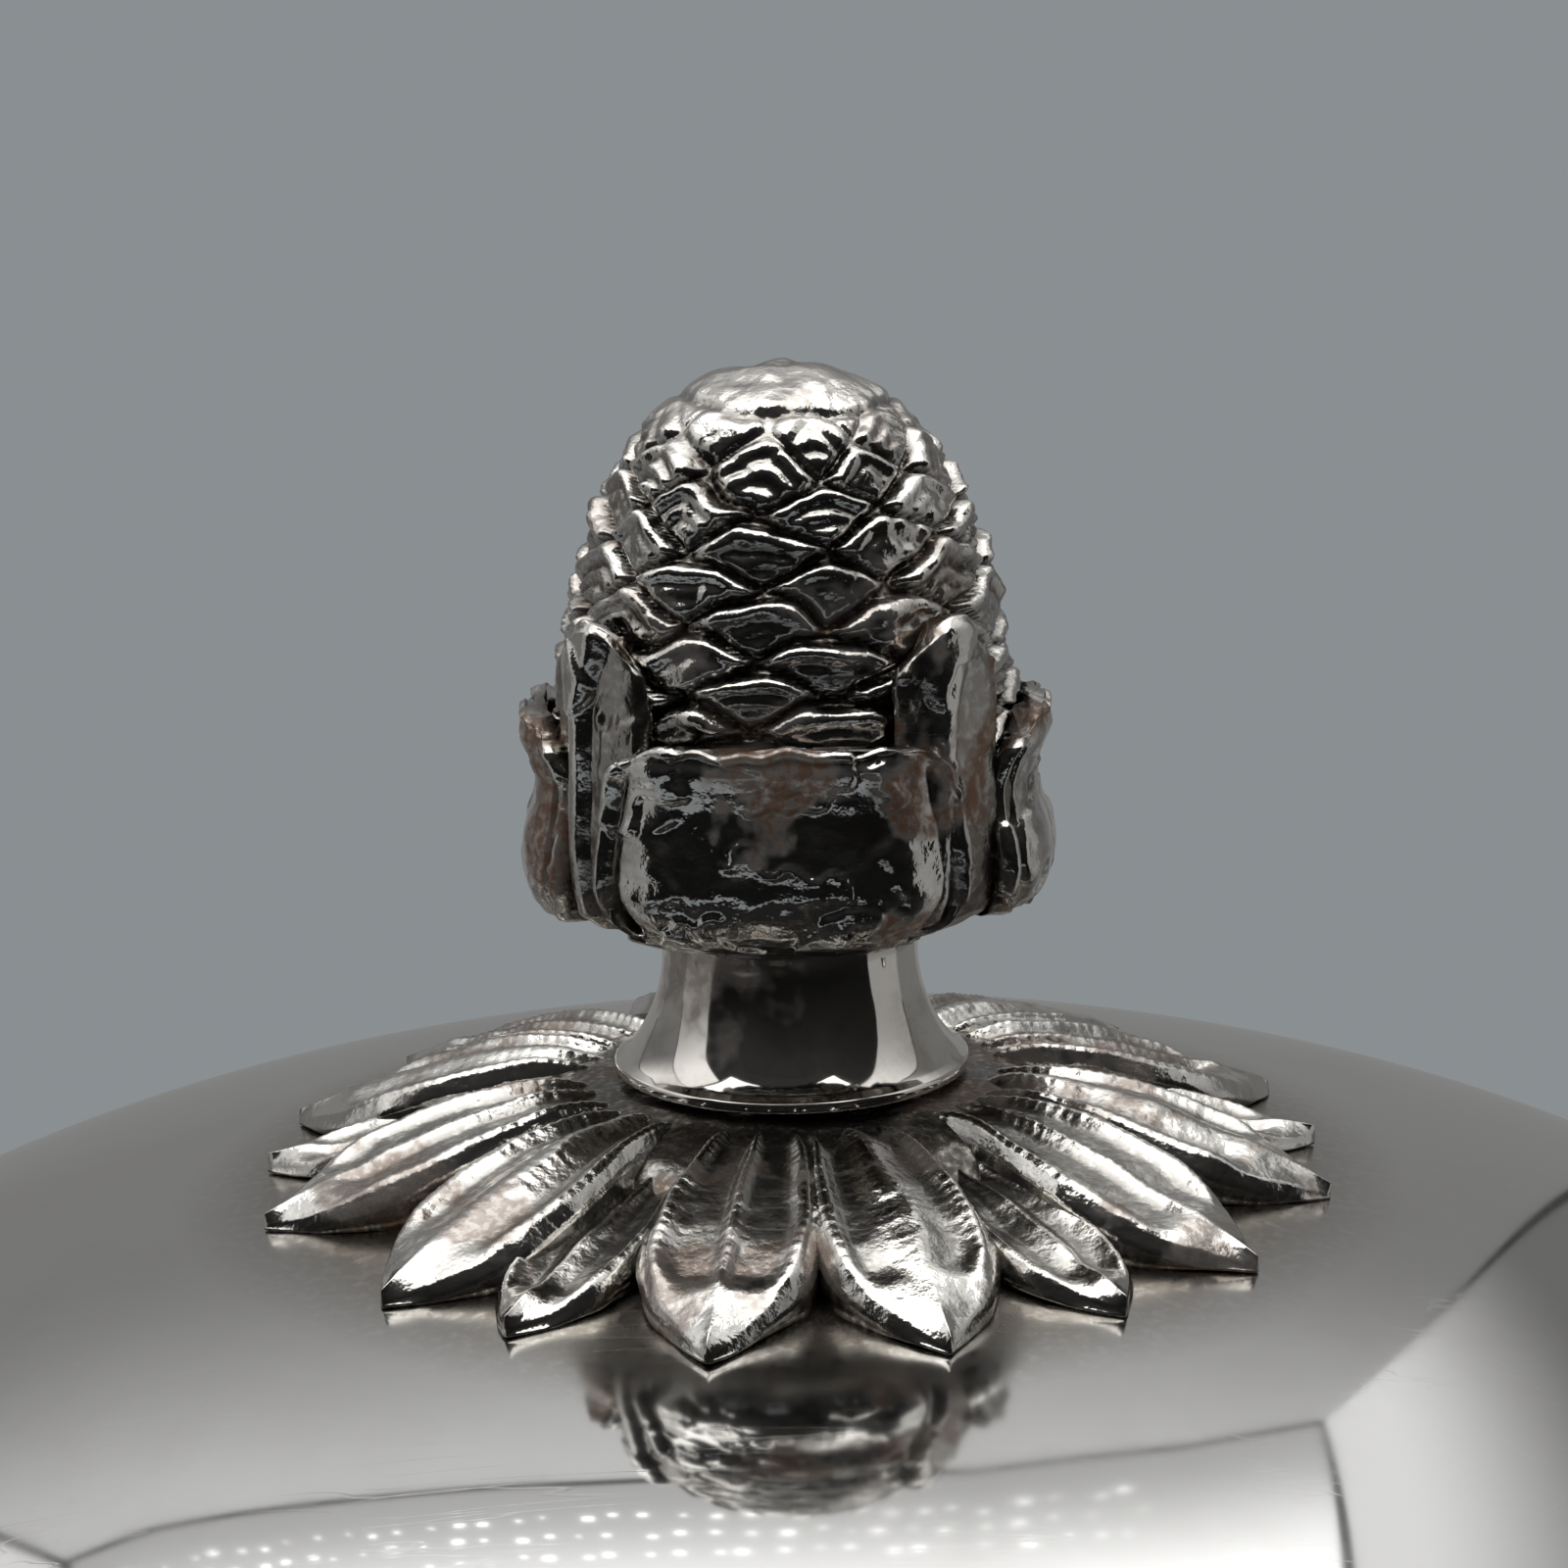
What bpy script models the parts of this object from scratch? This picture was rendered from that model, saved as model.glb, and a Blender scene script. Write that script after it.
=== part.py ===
"""A covered silver sugar bowl: a round bowl on a pedestal foot, two loop handles, and a domed lid
whose pine cone finial stands on a spool and a rosette of leaves.

Metres, +Z up. The origin is on the table under the middle of the foot, and the front faces -Y.
"""

from math import cos, pi, radians, sin, sqrt

import bmesh
import bpy
import numpy as np

# Clearances
GAP = 0.0003  # between pieces that are soldered or seated on each other
BEZEL_CLEARANCE = 0.0006  # the lid's flange turns freely in the bowl's neck
STUD_CLEARANCE = 0.0004  # round the stud, in every hole that it passes

# Foot
FOOT_HEIGHT = 0.0450
FOOT_RADIUS = 0.0410
FOOT_WALL = 0.0010
FOOT_WIRE_HEIGHT = 0.0036
FOOT_WIRE_WIDTH = 0.0050
FOOT_STEP_WIDTH = 0.0028  # of the plain ledge round the foot's edge
FOOT_STEP_RISE = 0.0042
FOOT_WAIST_RADIUS = 0.0105
FOOT_WAIST_DROP = 0.0060  # below the pedestal's top
FOOT_LIP = 0.0018  # how far the pedestal's top spreads beyond its waist
COLLAR_HEIGHT = 0.0046
COLLAR_RADIUS = 0.0165
COLLAR_BORE = 0.0072

# Bowl
BOWL_HEIGHT = 0.0750
BOWL_WALL = 0.0010
BOWL_SEAT_RADIUS = 0.0140
MOUTH_RADIUS = 0.0562
NECK_PINCH = 0.0018  # how far the neck is drawn in from the mouth
NECK_DROP = 0.0095
BELLY_SWELL = 0.0040  # how far the belly stands out past the mouth
BELLY_DROP = 0.0300  # from the rim down to the widest place
RIM_WIRE_HEIGHT = 0.0034
RIM_WIRE_WIDTH = 0.0027

# Lid
LID_RISE = 0.0161
LID_WALL = 0.0009
CROWN_BOW = 2.01  # drop of the dome near its crown, over the radius squared
LID_RING_HEIGHT = 0.0030
LID_RING_WIDTH = 0.0030  # of the moulding that stands out past the dome
BEZEL_DEPTH = 0.0080
BEZEL_WALL = 0.0008

# Leaf rosette on the lid
ROSETTE_RADIUS = 0.0222
ROSETTE_NOTCH = 0.0140  # radius at which neighbouring leaves part
ROSETTE_DISH_MARGIN = 0.0007  # round the spool's base
ROSETTE_DISH_HEIGHT = 0.0028
ROSETTE_SHOULDER_WIDTH = 0.0018
ROSETTE_SHOULDER_HEIGHT = 0.0034
LEAF_EDGE = 0.0011
LEAF_ARCH = 0.0006
LEAF_GROUPS = 6
LEAF_OFFSETS = (-12.0, 12.0, 30.0)  # two long leaves and a small one in each group, degrees
FIRST_GROUP = 3.0
LEAF_POINT = 1.7  # the higher, the blunter the leaves' tips

# Finial
STEM_BASE_RADIUS = 0.0073
STEM_WAIST_RADIUS = 0.0053
STEM_HEIGHT = 0.0050
STEM_LIP = 0.0004
CONE_RADIUS = 0.0094
CONE_HEIGHT = 0.0223
CONE_WIDEST_RISE = 0.0065  # above the cone's base
CONE_FULLNESS = 2.5
CONE_FOOT_MARGIN = 0.0026  # how far the cone's flat base stays inside its side
CONE_FOOT_RISE = 0.0032
SCALE_RELIEF = 0.0003
SCALE_COLUMNS = 16
SCALE_ROWS = 9
CALYX_WALL = 0.0009
CALYX_FLOOR = 0.0010
CALYX_FLOOR_MARGIN = 0.0019
CALYX_BELLY_RISE = 0.0042
CALYX_NOTCH_RISE = 0.0060
CALYX_SHORT_RISE = 0.0095
CALYX_TALL_RISE = 0.0132
CALYX_LEAF_HALF_ANGLE = 27.0
CALYX_TOP_TURN = 0.0030  # the leaves' tips stand off as the cone curves in
CALYX_SEGMENTS = 32
STUD_RADIUS = 0.0018
STUD_CHAMFER = 0.0003
STUD_DEPTH_IN_CONE = 0.0070
STUD_TAIL = 0.0014  # past the nut
WASHER_RADIUS = 0.0065
WASHER_THICKNESS = 0.0010
NUT_ACROSS_FLATS = 0.0080
NUT_THICKNESS = 0.0030

# Handles
HANDLE_REACH = 0.0290  # past the belly
HANDLE_CREST_REACH = 0.0150  # past the belly, where the loop is highest
HANDLE_CREST_RISE = 0.0080  # above the rim
HANDLE_OUTER_DROP = 0.0120  # below the rim, where the loop is widest
HANDLE_RADIUS = 0.0030
HANDLE_END_RADIUS = 0.0023
HANDLE_UPPER_DROP = 0.0190  # below the rim, to the middle of the upper leaf
HANDLE_LOWER_DROP = 0.0500
HANDLE_RUN = 0.0120  # how far the loop runs straight out of its leaves
HANDLE_SWEEP = 0.0160
LEAF_PLATE_THICKNESS = 0.0016
LEAF_PLATE_LENGTH = 0.0210
LEAF_PLATE_WIDTH = 0.0160
LEAF_PLATE_ROOT = 0.38  # share of the leaf above the handle
LEAF_PLATE_ROWS = 8

ROUND_SEGMENTS = 36
SMALL_SEGMENTS = 24

# Heights and radii that follow from the values above
RIM_Z = FOOT_HEIGHT + BOWL_HEIGHT
NECK_RADIUS = MOUTH_RADIUS - NECK_PINCH
BELLY_RADIUS = MOUTH_RADIUS + BELLY_SWELL
WIRE_INNER_RADIUS = MOUTH_RADIUS + GAP
BEZEL_RADIUS = NECK_RADIUS - BOWL_WALL - BEZEL_CLEARANCE
LID_SEAT_Z = RIM_Z + GAP
LID_EDGE_Z = LID_SEAT_Z + LID_RING_HEIGHT + GAP
LID_RADIUS = MOUTH_RADIUS
CROWN_Z = LID_EDGE_Z + LID_RISE
CROWN_TURN = (LID_RISE - CROWN_BOW * LID_RADIUS**2) / LID_RADIUS**4
STUD_BORE = STUD_RADIUS + STUD_CLEARANCE
ROSETTE_DISH_RADIUS = STEM_BASE_RADIUS + ROSETTE_DISH_MARGIN
ROSETTE_SHOULDER_RADIUS = ROSETTE_DISH_RADIUS + ROSETTE_SHOULDER_WIDTH
STEM_BASE_Z = CROWN_Z + ROSETTE_DISH_HEIGHT + GAP
CALYX_BASE_Z = STEM_BASE_Z + STEM_HEIGHT + GAP
CALYX_INNER_RADIUS = CONE_RADIUS + GAP
CONE_BASE_Z = CALYX_BASE_Z + CALYX_FLOOR + GAP
CONE_TOP_Z = CONE_BASE_Z + CONE_HEIGHT


def clear_scene():
    for thing in list(bpy.data.objects):
        bpy.data.objects.remove(thing)


def silver(name, colour, roughness):
    """A Principled metal of this colour and roughness."""
    finish = bpy.data.materials.new(name)
    finish.use_nodes = True
    shader = finish.node_tree.nodes["Principled BSDF"]
    shader.inputs["Base Color"].default_value = (*colour, 1.0)
    shader.inputs["Metallic"].default_value = 1.0
    shader.inputs["Roughness"].default_value = roughness
    return finish


def bezier(start, pull, push, end, count, first=0):
    """Points along a cubic arc from start to end, whose two controls are pull and push."""
    points = []
    for step in range(first, count + 1):
        t = step / count
        near, far = 1.0 - t, t
        weights = (near**3, 3 * near**2 * far, 3 * near * far**2, far**3)
        corners = (start, pull, push, end)
        points.append(tuple(sum(w * c[axis] for w, c in zip(weights, corners)) for axis in (0, 1)))
    return points


def offset_outline(points, distance):
    """The same open outline moved sideways, to the left of the way it runs, with mitred corners."""
    line = np.array(points)
    along = np.diff(line, axis=0)
    along /= np.linalg.norm(along, axis=1)[:, None]
    left = np.stack([-along[:, 1], along[:, 0]], axis=1)
    before = np.vstack([left[:1], left])
    after = np.vstack([left, left[-1:]])
    middle = before + after
    middle /= np.linalg.norm(middle, axis=1)[:, None]
    reach = distance / np.sum(middle * before, axis=1)
    return [tuple(point) for point in line + middle * reach[:, None]]


def add_part(name, shape, finish):
    """Turns a bmesh into a named object with its faces outwards and round stretches smooth."""
    bmesh.ops.remove_doubles(shape, verts=shape.verts, dist=1e-6)
    bmesh.ops.recalc_face_normals(shape, faces=shape.faces)
    mesh = bpy.data.meshes.new(name)
    shape.to_mesh(mesh)
    shape.free()
    mesh.materials.append(finish)
    mesh.shade_smooth()
    mesh.set_sharp_from_angle(angle=radians(32))
    part = bpy.data.objects.new(name, mesh)
    bpy.context.scene.collection.objects.link(part)
    return part


def turned(name, outline, finish, segments=ROUND_SEGMENTS):
    """A solid turned round the Z axis from an outline of (radius, height) points.

    An outline that starts off the axis is a ring, and its last point joins its first.
    """
    shape = bmesh.new()
    corners = [shape.verts.new((radius, 0.0, height)) for radius, height in outline]
    edges = [shape.edges.new(pair) for pair in zip(corners, corners[1:])]
    if outline[0][0] > 0.0:
        edges.append(shape.edges.new((corners[-1], corners[0])))
    bmesh.ops.spin(
        shape,
        geom=corners + edges,
        cent=(0.0, 0.0, 0.0),
        axis=(0.0, 0.0, 1.0),
        angle=2 * pi,
        steps=segments,
    )
    return add_part(name, shape, finish)


def closed_grid(name, rows, finish, caps=False):
    """A solid skinned over rows of points, where the last point of a row joins its first.

    Without caps the last row joins the first row too, as on a ring.
    """
    shape = bmesh.new()
    grid = [[shape.verts.new(point) for point in row] for row in rows]
    count = len(grid[0])
    pairs = list(zip(grid, grid[1:]))
    if caps:
        shape.faces.new(grid[0])
        shape.faces.new(grid[-1])
    else:
        pairs.append((grid[-1], grid[0]))
    for row, following in pairs:
        for index in range(count):
            after = (index + 1) % count
            shape.faces.new((row[index], row[after], following[after], following[index]))
    return add_part(name, shape, finish)


def polar(radius, azimuth, height):
    """A point at an azimuth measured from the front, turning towards +X."""
    return (radius * sin(azimuth), -radius * cos(azimuth), height)


def bowl_outline():
    """The bowl's outer side, from the rim down to the edge of its flat seat."""
    lip = (MOUTH_RADIUS, RIM_Z - RIM_WIRE_HEIGHT)
    neck = (NECK_RADIUS, RIM_Z - NECK_DROP)
    belly = (BELLY_RADIUS, RIM_Z - BELLY_DROP)
    seat = (BOWL_SEAT_RADIUS, FOOT_HEIGHT + GAP)
    flare = (lip[1] - neck[1]) / 3
    fall = 0.42 * (neck[1] - belly[1])
    drop = 0.55 * (belly[1] - seat[1])
    spread = 0.55 * (belly[0] - seat[0])
    points = [(MOUTH_RADIUS, RIM_Z)]
    points += bezier(lip, (lip[0], lip[1] - flare), (neck[0], neck[1] + flare), neck, 3)
    points += bezier(neck, (neck[0], neck[1] - fall), (belly[0], belly[1] + fall), belly, 5, 1)
    points += bezier(belly, (belly[0], belly[1] - drop), (seat[0] + spread, seat[1]), seat, 8, 1)
    return points


def bowl_wall_at(height):
    """(radius, outward direction as (radial, up)) of the bowl's outer side at a height."""
    outline = np.array(bowl_outline()[::-1])
    place = float(np.interp(height, outline[:, 1], outline[:, 0]))
    near = 0.001
    above = float(np.interp(height + near, outline[:, 1], outline[:, 0]))
    below = float(np.interp(height - near, outline[:, 1], outline[:, 0]))
    lean = (above - below) / (2 * near)
    length = sqrt(1 + lean**2)
    return place, (1 / length, -lean / length)


def dome_height(radius):
    """Height of the lid's outer face."""
    return CROWN_Z - CROWN_BOW * radius**2 - CROWN_TURN * radius**4


def dome_outline(count=9):
    """The lid's outer face from the edge of its stud hole to its rim."""
    steps = np.linspace(0.0, 1.0, count) ** 0.8
    reach = STUD_BORE + (LID_RADIUS - STUD_BORE) * steps
    return [(float(radius), dome_height(float(radius))) for radius in reach]


def wire_ring(name, inner, width, low, height, flat_share, finish):
    """A moulding wire with a plain bore, flat faces above and below, and a half-round outer side."""
    middle = low + height / 2
    flat = flat_share * width
    outline = [(inner, low + height), (inner + flat, low + height)]
    for turn in (pi / 4, 0.0, -pi / 4):
        reach = inner + flat + (width - flat) * cos(turn)
        outline.append((reach, middle + height / 2 * sin(turn)))
    outline += [(inner + flat, low), (inner, low)]
    return turned(name, outline, finish)


def build_bowl():
    outer = bowl_outline()
    inner = offset_outline(outer + [(0.0, outer[-1][1])], -BOWL_WALL)
    inner[0] = (outer[0][0] - BOWL_WALL, RIM_Z)
    inner[-1] = (0.0, outer[-1][1] + BOWL_WALL)
    outline = [(0.0, outer[-1][1])] + outer[::-1] + inner
    turned("bowl_shell", outline, silver("bowl silver", (0.83, 0.82, 0.79), 0.12))
    wire_ring(
        "bowl_rim_wire",
        WIRE_INNER_RADIUS,
        RIM_WIRE_WIDTH,
        RIM_Z - RIM_WIRE_HEIGHT,
        RIM_WIRE_HEIGHT,
        0.2,
        silver("rim wire silver", (0.80, 0.79, 0.76), 0.18),
    )


def build_foot():
    """The pedestal, the moulded ring it stands on, and the collar that joins it to the bowl."""
    top = FOOT_HEIGHT - COLLAR_HEIGHT - GAP
    edge = FOOT_WIRE_HEIGHT + GAP
    rim = FOOT_RADIUS - 0.4 * FOOT_WIRE_WIDTH
    ledge = (rim, edge + 0.6 * FOOT_STEP_RISE)
    shoulder = (rim - FOOT_STEP_WIDTH, edge + FOOT_STEP_RISE)
    waist = (FOOT_WAIST_RADIUS, top - FOOT_WAIST_DROP)
    fall = 0.58 * (waist[1] - shoulder[1])
    spread = 0.45 * (shoulder[0] - waist[0])
    outer = [(FOOT_WAIST_RADIUS + FOOT_LIP, top)]
    outer += bezier(
        waist, (waist[0], waist[1] - fall), (shoulder[0] - spread, shoulder[1] + 0.0015), shoulder, 8
    )
    outer += [ledge, (rim, edge)]
    inner = offset_outline(outer, -FOOT_WALL)
    inner[0] = (inner[0][0], top)
    inner[-1] = (inner[-1][0], edge)
    finish = silver("foot silver", (0.82, 0.81, 0.78), 0.14)
    turned("foot_pedestal", outer + inner[::-1], finish)
    wire_ring(
        "foot_base_wire",
        FOOT_RADIUS - FOOT_WIRE_WIDTH,
        FOOT_WIRE_WIDTH,
        0.0,
        FOOT_WIRE_HEIGHT,
        0.7,
        silver("foot wire silver", (0.78, 0.77, 0.74), 0.2),
    )
    wire_ring(
        "foot_collar",
        COLLAR_BORE,
        COLLAR_RADIUS - COLLAR_BORE,
        FOOT_HEIGHT - COLLAR_HEIGHT,
        COLLAR_HEIGHT,
        0.75,
        silver("collar silver", (0.79, 0.78, 0.75), 0.2),
    )


def build_lid():
    """The raised dome, the moulded ring under its edge, and the flange that drops into the neck."""
    outer = dome_outline()
    inner = offset_outline(outer, -LID_WALL)
    inner[0] = (STUD_BORE, outer[0][1] - LID_WALL)
    inner[-1] = (LID_RADIUS - LID_WALL, LID_EDGE_Z)
    turned("lid_dome", outer + inner[::-1], silver("lid silver", (0.84, 0.83, 0.81), 0.1))
    ring_inner = BEZEL_RADIUS + GAP
    ring_width = LID_RADIUS + LID_RING_WIDTH - ring_inner
    wire_ring(
        "lid_rim_ring",
        ring_inner,
        ring_width,
        LID_SEAT_Z,
        LID_RING_HEIGHT,
        1.0 - 0.7 * LID_RING_WIDTH / ring_width,
        silver("lid ring silver", (0.80, 0.79, 0.76), 0.18),
    )
    underside = np.array(inner)
    bezel_top = float(np.interp(BEZEL_RADIUS, underside[:, 0], underside[:, 1])) - GAP
    outline = [
        (BEZEL_RADIUS, bezel_top),
        (BEZEL_RADIUS, RIM_Z - BEZEL_DEPTH),
        (BEZEL_RADIUS - BEZEL_WALL, RIM_Z - BEZEL_DEPTH),
        (BEZEL_RADIUS - BEZEL_WALL, bezel_top),
    ]
    turned("lid_bezel", outline, silver("bezel silver", (0.79, 0.78, 0.74), 0.25))


def leaf_reach(azimuth, centres, half_angles):
    """Radius of the rosette's edge: leaf tips at their centres, notches half way between."""
    reach = ROSETTE_NOTCH
    for centre, half_angle in zip(centres, half_angles):
        aside = abs((azimuth - centre + pi) % (2 * pi) - pi) / half_angle
        if aside < 1.0:
            tip = ROSETTE_NOTCH + (ROSETTE_RADIUS - ROSETTE_NOTCH) * (1.0 - aside**LEAF_POINT)
            reach = max(reach, tip)
    return reach


def build_rosette():
    """A cast ring of leaves that arches from a dished middle down to the dome."""
    centres = sorted(
        radians(FIRST_GROUP + 360.0 / LEAF_GROUPS * group + offset) % (2 * pi)
        for group in range(LEAF_GROUPS)
        for offset in LEAF_OFFSETS
    )
    following = centres[1:] + [centres[0] + 2 * pi]
    gaps = [after - before for before, after in zip(centres, following)]
    half_angles = [min(before, after) / 2 for before, after in zip([gaps[-1]] + gaps, gaps)]
    azimuths = []
    for centre, gap in zip(centres, gaps):
        azimuths += [centre + gap * share for share in (0.0, 0.22, 0.5, 0.78)]
    rows = []
    for azimuth in azimuths:
        edge = leaf_reach(azimuth, centres, half_angles)
        middle = ROSETTE_SHOULDER_RADIUS + 0.5 * (edge - ROSETTE_SHOULDER_RADIUS)
        edge_height = dome_height(edge) + GAP + LEAF_EDGE
        shoulder_height = CROWN_Z + ROSETTE_SHOULDER_HEIGHT
        level = dome_height(middle) + GAP + LEAF_EDGE
        middle_height = (shoulder_height + level) / 2 + LEAF_ARCH
        section = [
            (STUD_BORE, CROWN_Z + ROSETTE_DISH_HEIGHT),
            (ROSETTE_DISH_RADIUS, CROWN_Z + ROSETTE_DISH_HEIGHT),
            (ROSETTE_SHOULDER_RADIUS, shoulder_height),
            (middle, middle_height),
            (edge, edge_height),
            (edge, dome_height(edge) + GAP),
            (middle, dome_height(middle) + GAP),
            (ROSETTE_DISH_RADIUS, dome_height(ROSETTE_DISH_RADIUS) + GAP),
            (STUD_BORE, dome_height(STUD_BORE) + GAP),
        ]
        rows.append([polar(radius, azimuth, height) for radius, height in section])
    closed_grid("leaf_rosette", rows, silver("rosette silver", (0.76, 0.74, 0.70), 0.25))


def build_stem():
    """The waisted spool between the rosette and the pine cone."""
    foot = (STEM_BASE_RADIUS, STEM_BASE_Z + STEM_LIP)
    top = (STEM_WAIST_RADIUS, STEM_BASE_Z + STEM_HEIGHT)
    outline = [(STUD_BORE, top[1])]
    outline += bezier(
        top, (top[0] - 0.0001, top[1] - 0.0024), (foot[0] - 0.0009, foot[1] + 0.0011), foot, 6
    )
    outline += [(STEM_BASE_RADIUS, STEM_BASE_Z), (STUD_BORE, STEM_BASE_Z)]
    finish = silver("stem silver", (0.80, 0.78, 0.74), 0.15)
    turned("finial_stem", outline, finish, SMALL_SEGMENTS)


def calyx_top(azimuth):
    """Height of the calyx's scalloped edge: four short broad leaves and four tall ones between."""
    top = CALYX_NOTCH_RISE
    for leaf in range(8):
        centre = leaf * pi / 4
        aside = abs((azimuth - centre + pi) % (2 * pi) - pi) / radians(CALYX_LEAF_HALF_ANGLE)
        rise = CALYX_TALL_RISE if leaf % 2 else CALYX_SHORT_RISE
        if aside < 1.0:
            top = max(top, CALYX_NOTCH_RISE + (rise - CALYX_NOTCH_RISE) * (1.0 - aside**2.2))
    return CALYX_BASE_Z + top


def cone_radius_at(height):
    """Radius of the pine cone without its scales."""
    middle = CONE_BASE_Z + CONE_WIDEST_RISE
    if height <= middle:
        return CONE_RADIUS
    share = (height - middle) / (CONE_TOP_Z - middle)
    return CONE_RADIUS * sqrt(max(0.0, 1.0 - share**CONE_FULLNESS))


def build_calyx():
    """A cup of eight leaves that holds the foot of the cone."""
    floor_edge = CALYX_INNER_RADIUS - CALYX_FLOOR_MARGIN
    belly = CALYX_BASE_Z + CALYX_BELLY_RISE
    rows = []
    for step in range(CALYX_SEGMENTS):
        azimuth = 2 * pi * step / CALYX_SEGMENTS
        top = calyx_top(azimuth)
        middle = (belly + top) / 2
        inner_middle = max(cone_radius_at(middle) + SCALE_RELIEF, CONE_RADIUS) + GAP
        inner_top = cone_radius_at(top - CALYX_TOP_TURN) + SCALE_RELIEF + GAP
        section = [
            (STUD_BORE, CALYX_BASE_Z),
            (floor_edge, CALYX_BASE_Z + 0.0004),
            (CALYX_INNER_RADIUS + 0.4 * CALYX_WALL, CALYX_BASE_Z + 0.0019),
            (CALYX_INNER_RADIUS + CALYX_WALL, belly),
            (inner_middle + CALYX_WALL, middle),
            (inner_top + 0.8 * CALYX_WALL, top),
            (inner_top, top),
            (inner_middle, middle),
            (CALYX_INNER_RADIUS + SCALE_RELIEF, belly),
            (CALYX_INNER_RADIUS, CALYX_BASE_Z + CALYX_FLOOR + 0.0022),
            (floor_edge, CALYX_BASE_Z + CALYX_FLOOR),
            (STUD_BORE, CALYX_BASE_Z + CALYX_FLOOR),
        ]
        rows.append([polar(radius, azimuth, height) for radius, height in section])
    closed_grid("finial_calyx", rows, silver("calyx silver", (0.74, 0.72, 0.68), 0.28))


def build_cone():
    """The pine cone: a blind bore for the stud, a plain foot in the calyx, then rows of scales."""
    bore_top = CONE_BASE_Z + STUD_DEPTH_IN_CONE + GAP
    first_scale = CALYX_BASE_Z + CALYX_NOTCH_RISE
    foot_radius = CONE_RADIUS - CONE_FOOT_MARGIN
    rings = [
        (0.0, bore_top, 0.0),
        (STUD_BORE, bore_top, 0.0),
        (STUD_BORE, CONE_BASE_Z, 0.0),
        (foot_radius, CONE_BASE_Z, 0.0),
        (CONE_RADIUS, CONE_BASE_Z + CONE_FOOT_RISE, 0.0),
    ]
    for row in range(SCALE_ROWS + 1):
        share = row / (SCALE_ROWS + 1)
        height = first_scale + (CONE_TOP_Z - first_scale) * sin(share * pi / 2) ** 0.85
        side = 1.0 if row % 2 else -1.0
        rings.append((cone_radius_at(height), height, side * SCALE_RELIEF))
    rings.append((0.0, CONE_TOP_Z, 0.0))
    shape = bmesh.new()
    grid = []
    for radius, height, relief in rings:
        ring = []
        for column in range(SCALE_COLUMNS):
            swell = relief if column % 2 else -relief
            azimuth = 2 * pi * column / SCALE_COLUMNS
            ring.append(shape.verts.new(polar(max(radius + swell, 0.0), azimuth, height)))
        grid.append(ring)
    for ring, following in zip(grid, grid[1:]):
        for column in range(SCALE_COLUMNS):
            after = (column + 1) % SCALE_COLUMNS
            shape.faces.new((ring[column], ring[after], following[after], following[column]))
    add_part("finial_cone", shape, silver("cone silver", (0.72, 0.70, 0.66), 0.25))


def build_fastening():
    """The stud that holds the finial, and the washer and hexagon nut under the lid."""
    underside = dome_height(WASHER_RADIUS) - LID_WALL
    washer_top = underside - GAP
    washer_low = washer_top - WASHER_THICKNESS
    nut_top = washer_low - GAP
    nut_low = nut_top - NUT_THICKNESS
    stud_top = CONE_BASE_Z + STUD_DEPTH_IN_CONE
    stud_low = nut_low - STUD_TAIL
    stud = [
        (0.0, stud_top),
        (STUD_RADIUS - STUD_CHAMFER, stud_top),
        (STUD_RADIUS, stud_top - STUD_CHAMFER),
        (STUD_RADIUS, stud_low + STUD_CHAMFER),
        (STUD_RADIUS - STUD_CHAMFER, stud_low),
        (0.0, stud_low),
    ]
    turned("finial_stud", stud, silver("stud silver", (0.62, 0.60, 0.56), 0.35), SMALL_SEGMENTS)
    washer = [
        (STUD_BORE, washer_top),
        (WASHER_RADIUS, washer_top),
        (WASHER_RADIUS, washer_low),
        (STUD_BORE, washer_low),
    ]
    finish = silver("washer silver", (0.70, 0.68, 0.64), 0.3)
    turned("finial_washer", washer, finish, SMALL_SEGMENTS)
    shape = bmesh.new()
    rings = []
    for corner in range(SMALL_SEGMENTS):
        azimuth = 2 * pi * corner / SMALL_SEGMENTS
        aside = (azimuth + pi / 6) % (pi / 3) - pi / 6
        flat = NUT_ACROSS_FLATS / 2 / cos(aside)
        outline = ((STUD_BORE, nut_top), (flat, nut_top), (flat, nut_low), (STUD_BORE, nut_low))
        rings.append([shape.verts.new(polar(radius, azimuth, height)) for radius, height in outline])
    for ring, following in zip(rings, rings[1:] + rings[:1]):
        for index in range(4):
            after = (index + 1) % 4
            shape.faces.new((ring[index], ring[after], following[after], following[index]))
    add_part("finial_nut", shape, silver("nut silver", (0.66, 0.64, 0.60), 0.32))


def leaf_plate(name, side, drop, finish):
    """A cast leaf soldered to the bowl's side, with its broad end under the handle."""
    places = (-1.0, -0.5, 0.0, 0.5, 1.0)
    faces = [(place, True) for place in places] + [(place, False) for place in reversed(places)]
    rows = []
    for step in range(LEAF_PLATE_ROWS + 1):
        share = 0.03 + 0.94 * step / LEAF_PLATE_ROWS
        height = RIM_Z - drop + (LEAF_PLATE_ROOT - share) * LEAF_PLATE_LENGTH
        radius, outward = bowl_wall_at(height)
        half = LEAF_PLATE_WIDTH / 2 * sin(pi * share**0.75) ** 0.8
        row = []
        for place, raised in faces:
            swell = (1.0 - 0.45 * place**2) * (0.55 + 0.45 * sin(pi * share))
            out = GAP + LEAF_PLATE_THICKNESS * swell * raised
            azimuth = pi / 2 * side + place * half / radius
            row.append(polar(radius + out * outward[0], azimuth, height + out * outward[1]))
        rows.append(row)
    return closed_grid(name, rows, finish, caps=True)


def handle_end(drop):
    """(place, direction) in the (radius, height) plane where a handle meets its leaf."""
    height = RIM_Z - drop
    radius, outward = bowl_wall_at(height)
    out = GAP + LEAF_PLATE_THICKNESS + GAP
    return (radius + out * outward[0], height + out * outward[1]), outward


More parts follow.
